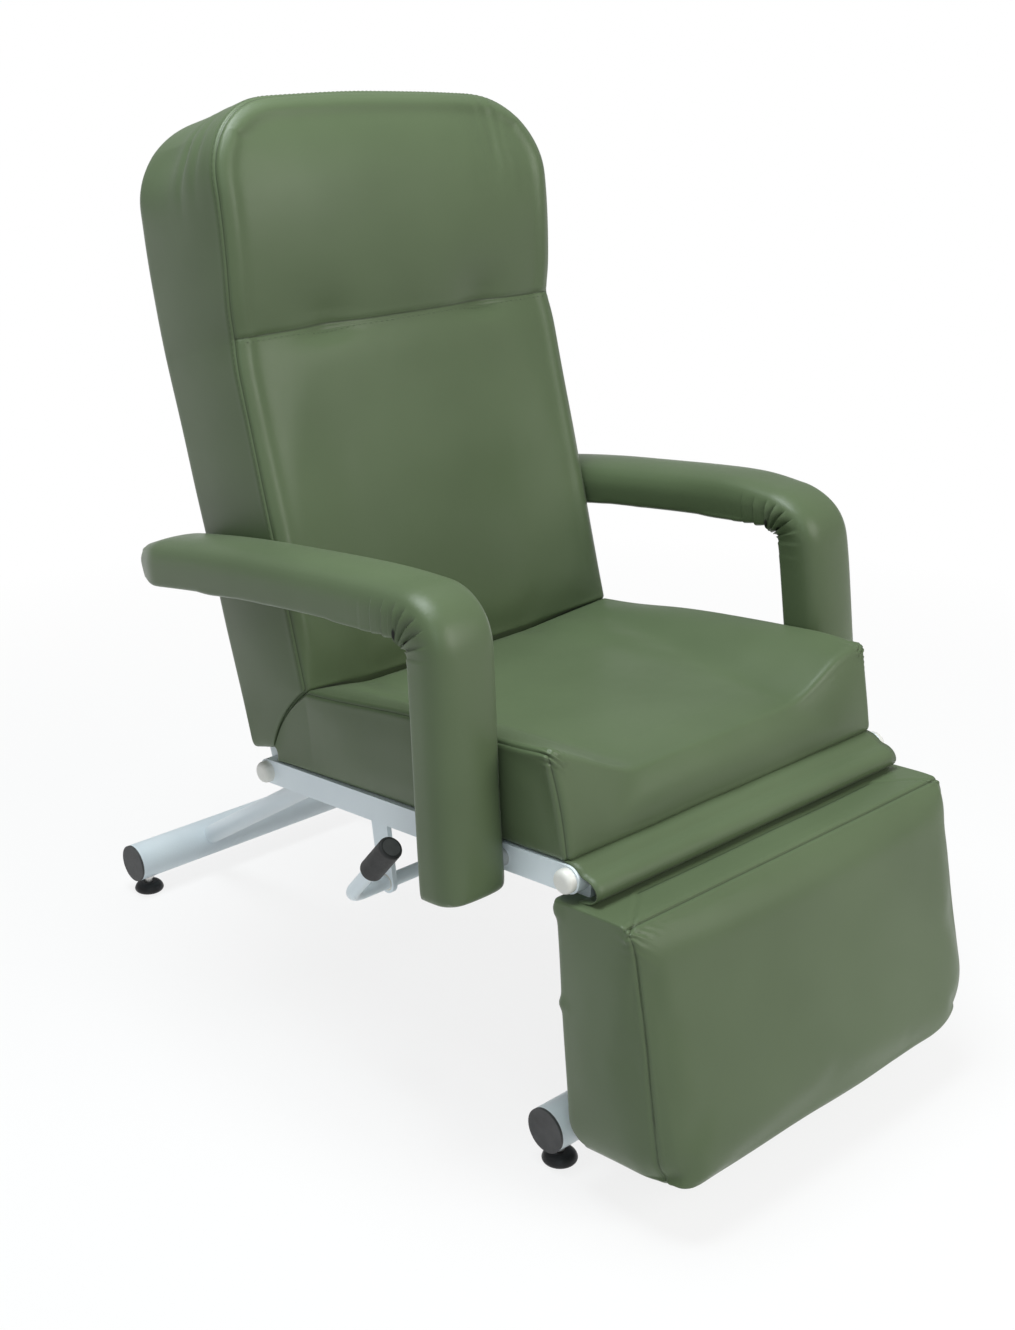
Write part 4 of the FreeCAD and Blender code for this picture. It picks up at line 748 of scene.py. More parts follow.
def front_panel_press(spot, rim, height):
    """The panel's edge roll, the cross seam with its two dimples, and the loose cover of the head."""
    above = height - HEAD_SEAM_HEIGHT
    depth = ROLL_FULLNESS * bump(rim, -ROLL_INSET, ROLL_WIDTH) * ramp(height, crease.z, 2 * crease.z)
    depth += seam_press(above, CROSS_SEAM_DEPTH, SEAM_WIDTH)
    for side in (-1, 1):
        across = bump(spot.x, side * DIMPLE_SPREAD, DIMPLE_RADIUS + max(0.0, DIMPLE_FLARE * above))
        depth -= DIMPLE_DEPTH * across * bump(above, 0, DIMPLE_RISE if above > 0 else DIMPLE_FALL)
    pleat = bump(spot.x, *HEAD_PLEAT) * ramp(height, *HEAD_PLEAT_HEIGHTS)
    return depth + HEAD_PLEAT_DEPTH * pleat * streaks(spot, *HEAD_PLEAT_PACE)


def band_press(spot, height):
    """Folds that run round the band's top corners, and a hollow behind them."""
    corner = bump(height, *CORNER_FOLDS) * ramp(abs(spot.x), CORNER_SHARE * back_half, back_half)
    wander = BAND_FOLD_WANDER * streaks(spot, *BAND_FOLD_PACE)
    depth = -BAND_SINK * bump(spot.y / BACK_DEPTH, *BAND_SINK_SHARES)
    for share, fold in BAND_FOLDS:
        depth += seam_press(spot.y - share * BACK_DEPTH + wander, fold, BAND_FOLD_WIDTH)
    return depth * corner


def back_skin(spot):
    rim = back_rim_distance(spot)
    height = spot.z + BACK_TAIL_HEIGHT
    depth = seam_press(rim, SEAM_DEPTH, SEAM_WIDTH) + seam_press(rim - FLANGE_WIDTH, *FLANGE_SEAM)
    depth += front_panel_press(spot, rim, height) if rim < 0 else band_press(spot, height)
    return depth + uneven(spot, *BACK_UNEVEN)


def on_back_hold(spot):
    """Where the cover is held: along its rim, on the board behind and in the crease."""
    at_rim = abs(back_rim_distance(spot)) < BACK_SEAM_HOLD
    return at_rim or spot.y > BACK_BOARD_SHARE * BACK_DEPTH or spot.z < BACK_TAIL_HOLD


seam_z = HEAD_SEAM_HEIGHT - BACK_TAIL_HEIGHT
seam_strips = [(2, seam_z + offset) for offset in CROSS_STRIPS]
seam_strips += [(2, crease.z - BACK_TAIL_HEIGHT + offset) for offset in CREASE_STRIPS]
back_block = Vector((BACK_WIDTH, BACK_DEPTH, back_run))
bm = foam_block(back_block, BACK_CELL, seam_strips, BACK_EDGE_RADIUS, square_axes=(1,))
back = object_from("back_pad", carried(bm, back_form))
swell(back, on_back_hold, pressure=2.0, cap=5 * MM)
refine(back, levels=2)
work_skin(back, back_skin, back_seam_distance)
finish_pad(back, "backrest", 0.8, "back_cushion")

# %% [markdown]
# A row of stitches holds the folded edge of the cover beside the backrest's rim and under the head part. The
# rows could be painted on, but thread stands proud and catches light, so each stitch is a tiny flat ball. A
# row is walked in the block's own places, carried into the pad's form and dropped onto the finished skin.

# %% Stitches
STITCH_PITCH = 6 * MM
STITCH_SIZE = (4.4 * MM, 1.0 * MM, 0.9 * MM)
STITCH_START = 110 * MM
STITCH_SEGMENTS = (6, 4)
WALK_STEP = 2 * MM
THREAD = plain_finish(
    "green_thread", (0.06, 0.085, 0.042), (0.085, 0.115, 0.06), (0.5, 0.65), 60, 900, 0.2 * MM)


def walked(*corners):
    """Places along a line of straight legs, a small step apart."""
    places = []
    for start, end in zip(corners, corners[1:]):
        count = max(1, round((end - start).length / WALK_STEP))
        places += [start.lerp(end, step / count) for step in range(count)]
    return places


def add_stitches(bm, skin, spots, form):
    landed = [skin.find_nearest(form(spot))[:2] for spot in spots]
    travelled = 0.0
    for (place, normal), (after, _) in zip(landed, landed[1:]):
        travelled += (after - place).length
        if travelled < STITCH_PITCH:
            continue
        travelled = 0.0
        along = (after - place).normalized()
        across = normal.cross(along).normalized()
        turn = Matrix((along, across, along.cross(across))).transposed().to_4x4()
        matrix = Matrix.Translation(place) @ turn @ Matrix.Diagonal((*STITCH_SIZE, 1))
        bmesh.ops.create_uvsphere(bm, u_segments=STITCH_SEGMENTS[0], v_segments=STITCH_SEGMENTS[1],
                                  radius=0.5, matrix=matrix)


skin = BVHTree.FromPolygons([v.co for v in back.data.vertices], [p.vertices for p in back.data.polygons])
bm = bmesh.new()
rim_turns = ((-1, STITCH_START), (-1, back_run), (1, back_run), (1, STITCH_START))
rim_spots = walked(*[Vector((side * back_half, FLANGE_WIDTH, z)) for side, z in rim_turns])
head_reach = back_half - 2 * FLANGE_WIDTH
head_spots = walked(*[Vector((side * head_reach, 0, seam_z - FLANGE_WIDTH)) for side in (-1, 1)])
for spots in (rim_spots, head_spots):
    add_stitches(bm, skin, spots, back_form)
stitches = object_from("back_stitches", bm)
stitches.data.materials.append(THREAD)
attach(stitches, "backrest")
print("stitches", len(stitches.data.polygons) // math.prod(STITCH_SEGMENTS))

# %% [markdown]
# The legrest is a wedge, thin at the hinge and deep at the heel, with large round lower corners. Its front
# panel is sewn to a band that runs round the sides and the bottom.

# %% Legrest
LEGREST_WIDTH = 507 * MM
LEGREST_TOP_DROP = 22 * MM
LEGREST_LENGTH = 288 * MM
LEGREST_REAR_OFFSET = 15 * MM
LEGREST_TOP_DEPTH = 94 * MM
LEGREST_BOTTOM_DEPTH = 136 * MM
NEAR_CORNER_RADIUS = 38 * MM
FAR_CORNER_RADIUS = 72 * MM
LEGREST_HEEL_RISE = -4 * MM
LEGREST_HEEL_INSET = 20 * MM
LEGREST_CROWN = 9 * MM
LEGREST_TOP_ROLL = 26 * MM
LEGREST_HEEL_ROLL = 10 * MM
LEGREST_BLOCK_DEPTH = 130 * MM
EDGE_ROLL_TOP = 12 * MM
EDGE_ROLL_BOTTOM = (46 * MM, 16 * MM)
FAR_SIDE_FULLNESS = 5 * MM
SIDE_SEAM_WRAP = 20 * MM
TOP_SEAM_SETBACK = 11 * MM
REAR_EDGE_ROLL = 9 * MM
CROWN_START = 40 * MM
CROWN_HEEL_LOSS = 0.7
FULLEST_SHARES = (0.55, 0.4)
leg_half = LEGREST_WIDTH / 2


def front_edge_roll(spot):
    """The sewn front edges are crisp at the top and grow round towards the heel."""
    return mix(EDGE_ROLL_BOTTOM[spot.x > 0], EDGE_ROLL_TOP, spot.z / LEGREST_LENGTH)


def legrest_form(spot):
    from_front, from_top = round_off(spot.y, LEGREST_LENGTH - spot.z, LEGREST_TOP_ROLL)
    radius = FAR_CORNER_RADIUS if spot.x > 0 else NEAR_CORNER_RADIUS
    from_side, from_front = round_off(leg_half - abs(spot.x), from_front, front_edge_roll(spot))
    from_side, from_rear = round_off(from_side, LEGREST_BLOCK_DEPTH - from_front, REAR_EDGE_ROLL)
    from_front = LEGREST_BLOCK_DEPTH - from_rear
    from_front, from_bottom = round_off(from_front, LEGREST_LENGTH - from_top, LEGREST_HEEL_ROLL)
    from_side, from_bottom = round_off(from_side, from_bottom, radius)
    x = math.copysign(leg_half - from_side, spot.x)
    down = LEGREST_LENGTH - from_bottom
    share = down / LEGREST_LENGTH
    heel = ramp(down, LEGREST_LENGTH - NEAR_CORNER_RADIUS, LEGREST_LENGTH)
    front = at(LEG, -mix(LEGREST_TOP_DEPTH, LEGREST_BOTTOM_DEPTH, share), -LEGREST_TOP_DROP - down)
    rear_down = down - LEGREST_HEEL_RISE * heel
    rear = at(LEG, LEGREST_REAR_OFFSET - LEGREST_HEEL_INSET * heel ** 2, -LEGREST_TOP_DROP - rear_down)
    depth = from_front / LEGREST_BLOCK_DEPTH
    crown = LEGREST_CROWN * (1 - (x / leg_half) ** 2) * ramp(down, 0, CROWN_START)
    crown *= 1 - CROWN_HEEL_LOSS * heel
    outward = (front - rear).normalized()
    place = front.lerp(rear, depth) + outward * crown * (1 - depth) ** 2
    place.x = x + FAR_SIDE_FULLNESS * ramp(x, leg_half / 2, leg_half) * bump(share, *FULLEST_SHARES)
    return place


def legrest_rim_distance(spot):
    """Signed distance from the seam round the front panel, which laps onto the sides towards the heel."""
    from_rim = min(leg_half - abs(spot.x), spot.z, LEGREST_BLOCK_DEPTH / 2)
    wrap = SIDE_SEAM_WRAP * ramp(-spot.x, -leg_half / 2, leg_half / 2)
    return spot.y - from_rim - wrap * (1 - spot.z / LEGREST_LENGTH)


def legrest_seam_distance(spot):
    """The front panel laps a little over the top, where a cross seam holds it."""
    below_top = LEGREST_LENGTH - spot.z
    top = max(abs(spot.y - TOP_SEAM_SETBACK), below_top)
    return min(abs(legrest_rim_distance(spot)), top)


TOP_FACE = 2 * MM
GATHER_DEPTH = 0.8 * MM
GATHER_DOWN = (8 * MM, 26 * MM)
GATHER_ACROSS = (4 * MM, 26 * MM)
GATHER_BACK = (0, 20 * MM)
GATHER_PACE = 0.5 / MM
REAR_TAB = 3.5 * MM
REAR_TAB_REACH = 14 * MM
UPPER_TAB = (10 * MM, 9 * MM)
LOWER_TAB = (115 * MM, 7 * MM)
LOWER_TAB_SHARE = 0.8
LEGREST_UNEVEN = (1.0 * MM, 9)
LEG_BOARD_SHARE = 0.92
LEG_TOP_SHARE = 0.97
TOP_SEAM_STRIPS = (-3 * MM, 0, 3 * MM, 8 * MM)


def legrest_skin(spot):
    below_top = LEGREST_LENGTH - spot.z
    from_side = leg_half - abs(spot.x)
    depth = seam_press(legrest_rim_distance(spot), SEAM_DEPTH, SEAM_WIDTH)
    if below_top < TOP_FACE:
        depth += seam_press(spot.y - TOP_SEAM_SETBACK, SEAM_DEPTH, SEAM_WIDTH)
    if spot.x < 0:
        corner = bump(below_top, *GATHER_DOWN) * bump(from_side, *GATHER_ACROSS) * bump(spot.y, *GATHER_BACK)
        depth += GATHER_DEPTH * corner * math.sin((from_side - below_top) * GATHER_PACE)
        at_rear = bump(spot.y, LEGREST_BLOCK_DEPTH, REAR_TAB_REACH) * bump(from_side, 0, REAR_TAB_REACH)
        tabs = bump(below_top, *UPPER_TAB) + LOWER_TAB_SHARE * bump(below_top, *LOWER_TAB)
        depth += REAR_TAB * at_rear * tabs
    return depth + uneven(spot, *LEGREST_UNEVEN)


def on_legrest_hold(spot):
    """Where the cover is held: on the board behind and along the top."""
    return spot.y > LEG_BOARD_SHARE * LEGREST_BLOCK_DEPTH or spot.z > LEG_TOP_SHARE * LEGREST_LENGTH


leg_block = Vector((LEGREST_WIDTH, LEGREST_BLOCK_DEPTH, LEGREST_LENGTH))
top_strips = [(1, TOP_SEAM_SETBACK + offset) for offset in TOP_SEAM_STRIPS]
bm = foam_block(leg_block, PAD_CELL, top_strips + edge_strips(leg_block, EDGE_STRIPS))
legrest = object_from("legrest_pad", carried(bm, legrest_form))
swell(legrest, on_legrest_hold, pressure=1.5, cap=4 * MM)
refine(legrest, levels=2)
work_skin(legrest, legrest_skin, legrest_seam_distance)
finish_pad(legrest, "legrest", 0.85, "leg_cushion")

# %% [markdown]
# An armrest is one long bar of foam wrapped round a bent board: a post, a tight elbow and a pad that sinks a
# little towards its narrow rear end. The vinyl is pulled round it and gathers where the elbow is tight.

# %% Armrests
ARM_WIDTH = 82 * MM
ARM_THICKNESS = 46 * MM
ARM_WRAP = 2.5 * MM
ARM_SETBACK = 80 * MM
ARM_FOOT_SETBACK = 107.5 * MM
ARM_BOTTOM = 317 * MM
ARM_TOP = 631 * MM
ARM_MIDDLE_X = 292.5 * MM
ELBOW_RADIUS = 62 * MM
ARM_FALL = math.radians(3)
PAD_LENGTH = 489 * MM
PAD_BEND = math.radians(8.5)
TIP_LENGTH = 52 * MM
TIP_WIDTH = 58 * MM
TIP_THICKNESS = 34 * MM
ARM_CROWN = 4 * MM
ARM_OUTER_ROLL = {-1: 22 * MM, 1: 13 * MM}
ARM_INNER_ROLL = 7 * MM
TIP_ROLL = 15 * MM
END_ROLL = 12 * MM
ARM_CELL = 10 * MM
SHOULDER_ANGLE = math.radians(72)
SHOULDER_REACH = 55 * MM
LEAN_HEIGHT = 348 * MM
LEAN_REAR_SHARE = 0.45
LEAN_FADE = 250 * MM
ARMS = {
    "left": {"side": -1, "lean": math.radians(2.4), "sag": 2 * MM, "rear_sag": 0.0},
    "right": {"side": 1, "lean": math.radians(3.4), "sag": 9 * MM, "rear_sag": 6 * MM},
}
arm_depth = ARM_THICKNESS + ARM_WRAP


def rise_on_rail(setback, height):
    """Distance square to the rail up to a height above the floor."""
    return (height - at(RAIL, setback, 0).z) / math.cos(rail_pitch)


def turned(angle):
    return Vector((0, -math.cos(angle), math.sin(angle)))


elbow_setback = ARM_SETBACK + ELBOW_RADIUS
elbow_rise = rise_on_rail(elbow_setback, ARM_TOP - ELBOW_RADIUS)
foot_rise = rise_on_rail(ARM_FOOT_SETBACK, ARM_BOTTOM)
elbow_centre = at(RAIL, elbow_setback, elbow_rise)
elbow_end = math.pi / 2 + ARM_FALL
post_length = elbow_rise - foot_rise
elbow_length = ELBOW_RADIUS * (elbow_end - rail_pitch)
arm_length = post_length + elbow_length + PAD_LENGTH
pad_radius = PAD_LENGTH / PAD_BEND
pad_centre = elbow_centre + turned(elbow_end) * (ELBOW_RADIUS - pad_radius)


def arm_place(arm, run, inward):
    """Point on the armrest's centre plane: a distance along its outer face and a depth in from it."""
    past_post = run - post_length
    sag = arm["sag"] * bump(past_post, ELBOW_RADIUS * (SHOULDER_ANGLE - rail_pitch), SHOULDER_REACH)
    inward += sag * (1 - max(0.0, inward) / arm_depth)
    if past_post <= 0:
        return at(RAIL, ARM_SETBACK + inward, foot_rise + run)
    if past_post <= elbow_length:
        return elbow_centre + turned(rail_pitch + past_post / ELBOW_RADIUS) * (ELBOW_RADIUS - inward)
    bend = (past_post - elbow_length) / pad_radius
    place = pad_centre + turned(elbow_end + bend) * (pad_radius - inward)
    place.z -= arm["rear_sag"] * ramp(bend, 0, PAD_BEND / 2)
    return place


def arm_form_for(arm):
    def arm_form(spot):
        from_side = ARM_WIDTH / 2 - abs(spot.x)
        from_side, from_tip = round_off(from_side, arm_length - spot.z, TIP_ROLL)
        from_side, from_foot = round_off(from_side, spot.z, END_ROLL)
        from_tip, inward = round_off(from_tip, spot.y, END_ROLL)
        from_foot, inward = round_off(from_foot, inward, END_ROLL)
        from_side, inward = round_off(from_side, inward, ARM_OUTER_ROLL[1 if spot.x > 0 else -1])
        from_side, under = round_off(from_side, arm_depth - inward, ARM_INNER_ROLL)
        run = from_foot if spot.z < post_length else arm_length - from_tip
        tip = ramp(from_tip, TIP_LENGTH, 0)
        x = math.copysign(ARM_WIDTH / 2 - from_side, spot.x) * mix(1.0, TIP_WIDTH / ARM_WIDTH, tip)
        inward = arm_depth / 2 + (arm_depth / 2 - under) * mix(1.0, TIP_THICKNESS / arm_depth, tip)
        crown = ARM_CROWN * (1 - (2 * x / ARM_WIDTH) ** 2) * (1 - spot.y / arm_depth) ** 2
        place = arm_place(arm, run, inward - crown)
        fade = mix(1.0, LEAN_REAR_SHARE, ramp(place.y, elbow_centre.y, elbow_centre.y + LEAN_FADE))
        lean = math.tan(arm["lean"]) * (place.z - LEAN_HEIGHT) * fade
        place.x = arm["side"] * (ARM_MIDDLE_X - lean) + x
        return place
    return arm_form


PLEATS = 5
PLEAT_DEPTH = 9 * MM
PLEAT_EDGE = 0.3
PLEAT_DEPTHS = (0.1 * arm_depth, 0.55 * arm_depth)
PLEAT_SIDES = (0.28 * ARM_WIDTH, 0.44 * ARM_WIDTH)
PLEAT_SPAN = (0.7, 0.5)
CLOSING_INSET = 5 * MM
ARM_UNEVEN = (0.7 * MM, 14)
TIP_CREASE = 1.2 * MM
TIP_CREASE_REACH = 30 * MM
TIP_CREASE_PACE = (70, 30)
HEM_DROP = 4 * MM
HEM_DEPTHS = (0.84 * arm_depth, arm_depth)
HEM_SIDES = (0.36 * ARM_WIDTH, 0.46 * ARM_WIDTH)
HEM_START = (1.2, 1.6)
HEM_PACE = (6, 17, 3.0)
HEM_OFFSET = 0.05
SLITS = ((2.2, 0.28), (4.8, 0.24))
SLIT_DEPTHS = (0.84 * arm_depth, 0.16 * arm_depth)
SLIT_SIDES = (0.3, 0.6)
ARM_BOARD_SHARE = 0.8
ARM_FOOT_HOLD = 4 * MM
ARM_TIP_HOLD = 12 * MM
ELBOW_CUTS = 30
ELBOW_CUT_RANGE = range(9, 46)


def elbow_share(spot):
    return (spot.z - post_length) / elbow_length


def beside_elbow(spot):
    """1 on the side faces beside the elbow's tight inner corner, where the cover has to be pleated."""
    on_side = ramp(spot.y, *PLEAT_DEPTHS) * ramp(abs(spot.x), *PLEAT_SIDES)
    return on_side * bump(elbow_share(spot), *PLEAT_SPAN)


def arm_seam_distance(spot):
    """The cover is closed on its inner face, near the edges, and folded over itself beside the elbow;
    the vinyl paints shade along these seam and fold lines.
    """
    edge = ARM_WIDTH / 2 - abs(spot.x)
    closing = max(arm_depth - spot.y, 0.0) + abs(edge - CLOSING_INSET)
    if beside_elbow(spot) < PLEAT_EDGE:
        return closing
    fold = elbow_share(spot) * PLEATS
    return min(closing, abs(fold - round(fold)) * elbow_length / PLEATS)


def arm_skin(spot):
    fold = elbow_share(spot) * PLEATS % 1.0
    depth = PLEAT_DEPTH * (fold - 0.5) * beside_elbow(spot)
    depth += uneven(Vector((spot.x, spot.y, spot.z / 2)), *ARM_UNEVEN)
    tip = ramp(spot.z, arm_length - TIP_CREASE_REACH, arm_length)
    across, through = TIP_CREASE_PACE
    depth += TIP_CREASE * tip * noise.noise(Vector((spot.x * across, spot.y * through, 1.0)))
    hem = ramp(spot.y, *HEM_DEPTHS) * ramp(abs(spot.x), *HEM_SIDES)
    on_pad = ramp(elbow_share(spot), *HEM_START) * ramp(spot.z, arm_length, arm_length - TIP_LENGTH)
    return depth + HEM_DROP * hem * on_pad * max(0.0, HEM_OFFSET + streaks(spot, *HEM_PACE))


def arm_slit_shade(spot):
    """1 in the two mouths that the pleats leave at the elbow's inner corner, which the vinyl paints nearly black
    as shade.
    """
    fold = elbow_share(spot) * PLEATS
    mouth = max(bump(fold, *slit_shade) for slit_shade in SLITS)
    return mouth * bump(spot.y, *SLIT_DEPTHS) * ramp(beside_elbow(spot), *SLIT_SIDES)


def on_arm_hold(spot):
    """Where the cover is held: on the board and at both ends."""
    at_end = spot.z < ARM_FOOT_HOLD or spot.z > arm_length - ARM_TIP_HOLD
    return at_end or spot.y > ARM_BOARD_SHARE * arm_depth


arm_block = Vector((ARM_WIDTH, arm_depth, arm_length))
elbow_strips = [(2, post_length + elbow_length * step / ELBOW_CUTS) for step in ELBOW_CUT_RANGE]
elbow_strips += edge_strips(arm_block, EDGE_STRIPS[:1])
for label, arm in ARMS.items():
    bm = foam_block(arm_block, ARM_CELL, elbow_strips)
    cover = object_from("arm_cover_" + label, carried(bm, arm_form_for(arm)))
    swell(cover, on_arm_hold, pressure=2.0, cap=3 * MM)
    refine(cover, levels=2)
    work_skin(cover, arm_skin, arm_seam_distance, arm_slit_shade)
    finish_pad(cover, "chair_frame", 0.75, "arm_pad_" + label)

# %% [markdown]
# The apron is a strip of the same vinyl, from the seat's front edge over the hinge to the legrest's top. It
# is a sheet and no pad: a grid rolled over the hinge, with a little thickness.

# %% Apron
APRON_WIDTH = 484 * MM
APRON_THICKNESS = 1.4 * MM
APRON_COLUMNS = 48
APRON_STEPS = 30
APRON_RIPPLE = 1.2 * MM
APRON_RIPPLE_PACE = (9, 2)
APRON_PROFILE = [(10, 15.6), (-2, 14.4), (-9, 11.6), (-16, 7.2), (-25, 5.6), (-33, 1), (-36.5, -7),
                 (-31, -15), (-22, -18.5), (-13, -20.3), (-9, -22)]
apron_points = [front_pivot + Vector((0, forward * MM, up * MM)) for forward, up in APRON_PROFILE]


def apron_line(share):
    """Smooth curve through the profile: out over the hinge, round the nose and back to the legrest's top."""
    last = len(apron_points) - 1
    index = min(int(share * last), last - 1)
    t = share * last - index
    a, b, c, d = [apron_points[min(last, max(0, index + step))] for step in (-1, 0, 1, 2)]
    return b + ((c - a) * t + (a * 2 - b * 5 + c * 4 - d) * t ** 2 + (b * 3 - a - c * 3 + d) * t ** 3) / 2


bm = bmesh.new()
bmesh.ops.create_grid(bm, x_segments=APRON_COLUMNS, y_segments=APRON_STEPS, size=0.5)
across, along = APRON_RIPPLE_PACE
for v in bm.verts:
    x = v.co.x * APRON_WIDTH
    ripple = abs(APRON_RIPPLE * noise.noise(Vector((x * across, v.co.y * along, 4.0))))
    place = apron_line(v.co.y + 0.5)
    v.co = Vector((x, place.y - ripple, place.z + ripple))
apron = object_from("hinge_apron_sheet", bm)
wall = apron.modifiers.new("wall", "SOLIDIFY")
wall.thickness = APRON_THICKNESS
apron.data.materials.append(VINYL)
for polygon in apron.data.polygons:
    polygon.use_smooth = True
fine = bpy.data.meshes.new_from_object(apron.evaluated_get(bpy.context.evaluated_depsgraph_get()))
apron.modifiers.clear()
apron.data = fine
seam = fine.attributes.new("seam", "FLOAT", "POINT")
seam.data.foreach_set("value", [NO_SEAM] * len(fine.vertices))
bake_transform(apron)
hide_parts("hinge_apron")

# %% [markdown]
# The backrest's frame is closed behind by a thin vinyl covered panel with soft edges.

# %% Rear panel
panel_low, panel_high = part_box("back_rear_panel")
PANEL_THICKNESS = 8 * MM
PANEL_BOTTOM = 70 * MM
PANEL_TOP = 540 * MM
PANEL_CROWN = 3 * MM
PANEL_CROWN_REACH = 60 * MM
PANEL_CELL = 20 * MM
PANEL_EDGE_RADIUS = 3 * MM
PANEL_UNEVEN = (0.3 * MM, 12)
panel_width = panel_high.x - panel_low.x
panel_height = PANEL_TOP - PANEL_BOTTOM
panel_block = Vector((panel_width, PANEL_THICKNESS, panel_height))


def panel_form(spot):
    rim = min(panel_width / 2 - abs(spot.x), spot.z, panel_height - spot.z)
    crown = PANEL_CROWN * ramp(rim, 0, PANEL_CROWN_REACH) * spot.y / PANEL_THICKNESS
    place = at(BACK, BACK_REAR_OFFSET - PANEL_THICKNESS + spot.y + crown, PANEL_BOTTOM + spot.z)
    place.x = spot.x
    return place


bm = foam_block(panel_block, PANEL_CELL, edge_radius=PANEL_EDGE_RADIUS)
panel = object_from("rear_panel_cover", carried(bm, panel_form))
refine(panel, levels=1)
work_skin(panel, lambda spot: uneven(spot, *PANEL_UNEVEN), lambda spot: NO_SEAM)
finish_pad(panel, "backrest", 0.4, "back_rear_panel")

# %% [markdown]
# The lever's rubber grip is pushed over the bar, and its end shows a raised ring round a shallow plug. A disc
# with two insets makes both: the first insets and lifts the ring, the second sinks the plug.

# %% Grip end
GRIP_END_RADIUS = 10 * MM
GRIP_RING = 2.2 * MM
GRIP_STEP = 0.5 * MM
GRIP_LIFT = 0.3 * MM
LEVER_OUT = 296 * MM
LEVER_REACH = Vector((0, -78 * MM, 90 * MM))
GRIP_END = 5 * MM
GRIP_SEGMENTS = 40
grip_axis = LEVER_REACH.normalized()
grip_end = pivots["lever_lift"] + LEVER_REACH + grip_axis * (GRIP_END + GRIP_LIFT)
grip_end.x = -LEVER_OUT
bm = bmesh.new()
bmesh.ops.create_circle(bm, cap_ends=True, segments=GRIP_SEGMENTS, radius=GRIP_END_RADIUS)
for depth in (GRIP_STEP, GRIP_STEP, -GRIP_STEP, -GRIP_STEP):
    top = [max(bm.faces, key=lambda face: len(face.verts))]
    bmesh.ops.inset_region(bm, faces=top, thickness=GRIP_RING / 2, depth=depth)
to_axis = grip_axis.to_track_quat("Z", "Y").to_matrix().to_4x4()
bmesh.ops.transform(bm, matrix=Matrix.Translation(grip_end) @ to_axis, verts=bm.verts)
grip_disc = object_from("grip_end_disc", bm)
GRIP_GREY = plain_finish("grey_rubber", (0.07, 0.07, 0.07), (0.1, 0.1, 0.1), (0.4, 0.55), 70, 700, 0.3 * MM)
grip_disc.data.materials.append(GRIP_GREY)
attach(grip_disc, "release_lever")
print("grip end at", [round(value, 4) for value in grip_end])

# %% [markdown]
# The stage: a pale floor that keeps the shadow and fades to white further out, a white world for the camera
# and for reflections, one large soft lamp from the front, one overhead, and a small cool one from the left.

# %% Stage, light and camera
FLOOR_SIZE = 60.0
FLOOR_WHITE = 0.84
FLOOR_GLOSS = {"Roughness": 0.9, "Specular IOR Level": 0.1}
SHADOW_VEIL = 0.83
SHADOW_REACH = (0.9, 1.9)


def floor_material():
    material, tree, shader = start_material("pale_floor")
    shader.inputs["Base Color"].default_value = (FLOOR_WHITE, FLOOR_WHITE, FLOOR_WHITE, 1)
    set_sockets(shader, FLOOR_GLOSS)
    white = add_node(tree, "ShaderNodeEmission", Color=(1, 1, 1, 1), Strength=1.0)
    coords = add_node(tree, "ShaderNodeTexCoord")
    length = add_node(tree, "ShaderNodeVectorMath", operation="LENGTH")
    tree.links.new(coords.outputs["Object"], length.inputs[0])
    far = value_range(tree, length.outputs["Value"], *SHADOW_REACH, SHADOW_VEIL, 1.0)
    path = add_node(tree, "ShaderNodeLightPath")
    seen = add_node(tree, "ShaderNodeMath", operation="MAXIMUM")
    tree.links.new(path.outputs["Is Camera Ray"], seen.inputs[0])
    tree.links.new(path.outputs["Is Glossy Ray"], seen.inputs[1])
    fade = add_node(tree, "ShaderNodeMath", operation="MULTIPLY")
    tree.links.new(far, fade.inputs[0])
    tree.links.new(seen.outputs["Value"], fade.inputs[1])
    blend = add_node(tree, "ShaderNodeMixShader")
    tree.links.new(fade.outputs["Value"], blend.inputs["Fac"])
    tree.links.new(shader.outputs["BSDF"], blend.inputs[1])
    tree.links.new(white.outputs["Emission"], blend.inputs[2])
    output = next(n for n in tree.nodes if n.type == "OUTPUT_MATERIAL")
    tree.links.new(blend.outputs["Shader"], output.inputs["Surface"])
    return material


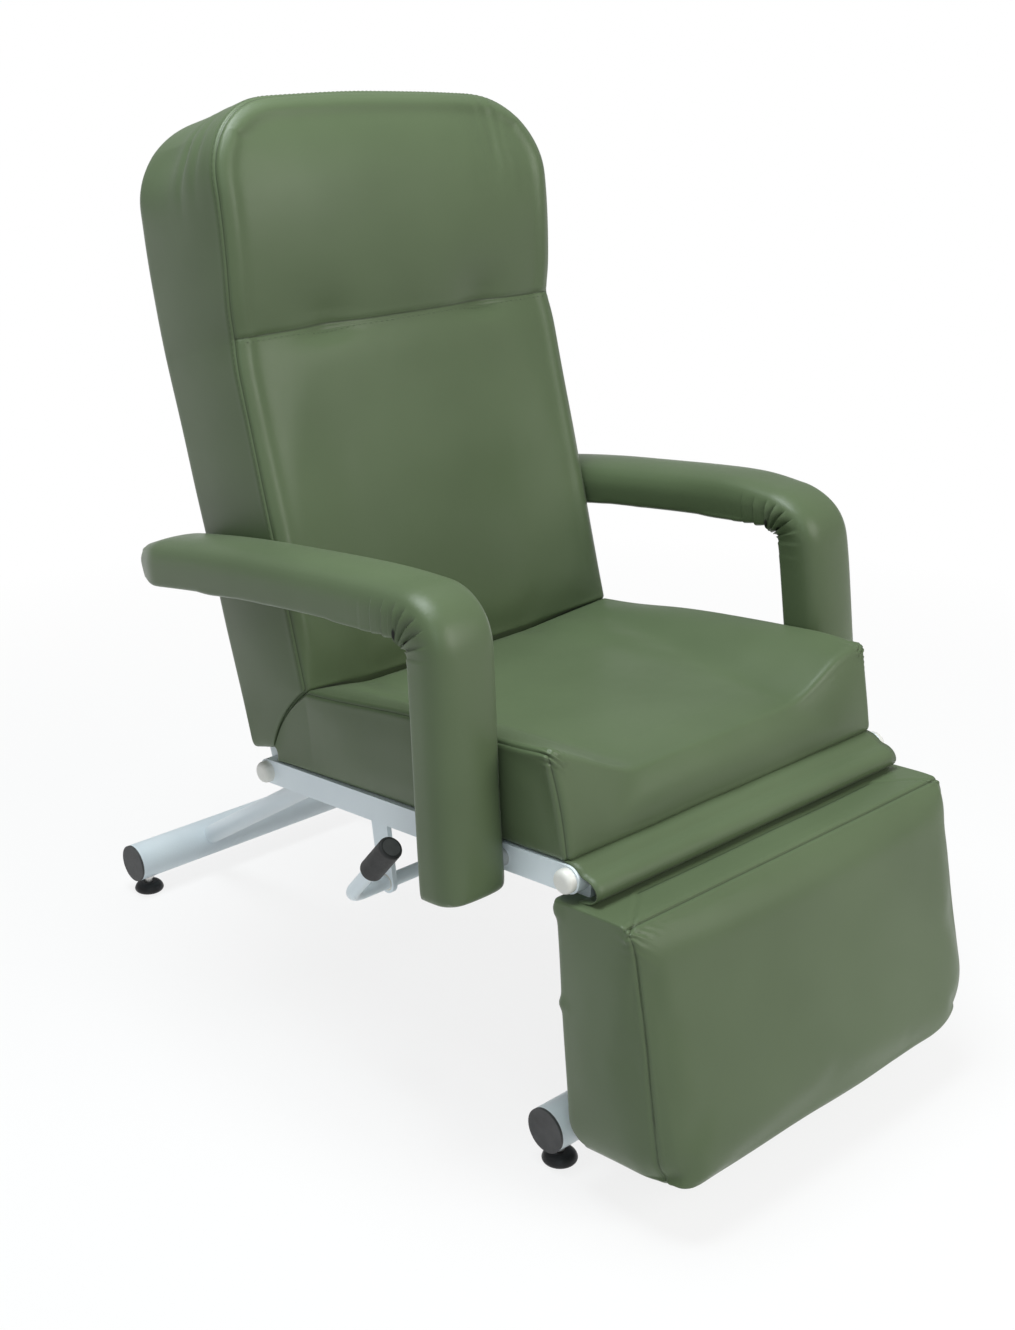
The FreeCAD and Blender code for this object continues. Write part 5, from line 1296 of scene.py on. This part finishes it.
bm = bmesh.new()
bmesh.ops.create_grid(bm, x_segments=1, y_segments=1, size=FLOOR_SIZE / 2)
floor = object_from("floor", bm)
floor.data.materials.append(floor_material())

WORLD_LIGHT = 0.33
world = bpy.data.worlds.new("studio")
scene.world = world
world.use_nodes = True
tree = world.node_tree
background = tree.nodes["Background"]
background.inputs["Color"].default_value = (1, 1, 1, 1)
path = add_node(tree, "ShaderNodeLightPath")
strength = add_node(tree, "ShaderNodeMix", data_type="FLOAT")
tree.links.new(path.outputs["Is Camera Ray"], strength.inputs["Factor"])
strength.inputs["A"].default_value = WORLD_LIGHT
strength.inputs["B"].default_value = 1.0
tree.links.new(strength.outputs["Result"], background.inputs["Strength"])


CHAIR_MIDDLE = Vector((0, 0, 0.5))


def soft_lamp(name, place, size, watts, colour):
    data = bpy.data.lights.new(name, "AREA")
    data.shape = "DISK"
    data.size = size
    data.energy = watts
    data.color = colour
    lamp = bpy.data.objects.new(name, data)
    lamp.location = place
    lamp.rotation_euler = (CHAIR_MIDDLE - Vector(place)).to_track_quat("-Z", "Y").to_euler()
    scene.collection.objects.link(lamp)


soft_lamp("front_softbox", (0.7, -2.65, 1.85), size=1.4, watts=36, colour=(1.0, 0.98, 0.94))
soft_lamp("top_softbox", (-0.4, 0.1, 2.9), size=1.4, watts=64, colour=(0.91, 0.98, 1.0))
soft_lamp("edge_softbox", (-1.7, -1.9, 2.0), size=0.7, watts=6, colour=(0.75, 0.95, 1.0))

CAMERA_PLACE = (-1.3384, -1.4596, 1.1912)
CAMERA_TURN = (68.6, 0.0, -42.5)
CAMERA_LENS = 48.15
CAMERA_SENSOR = 36.0
CAMERA_SHIFT = 0.002
camera_data = bpy.data.cameras.new("photo_view")
camera_data.lens = CAMERA_LENS
camera_data.sensor_width = CAMERA_SENSOR
camera_data.shift_y = CAMERA_SHIFT
camera = bpy.data.objects.new("photo_view", camera_data)
camera.location = CAMERA_PLACE
camera.rotation_euler = [math.radians(a) for a in CAMERA_TURN]
scene.collection.objects.link(camera)
scene.camera = camera
scene.view_settings.view_transform = "Standard"
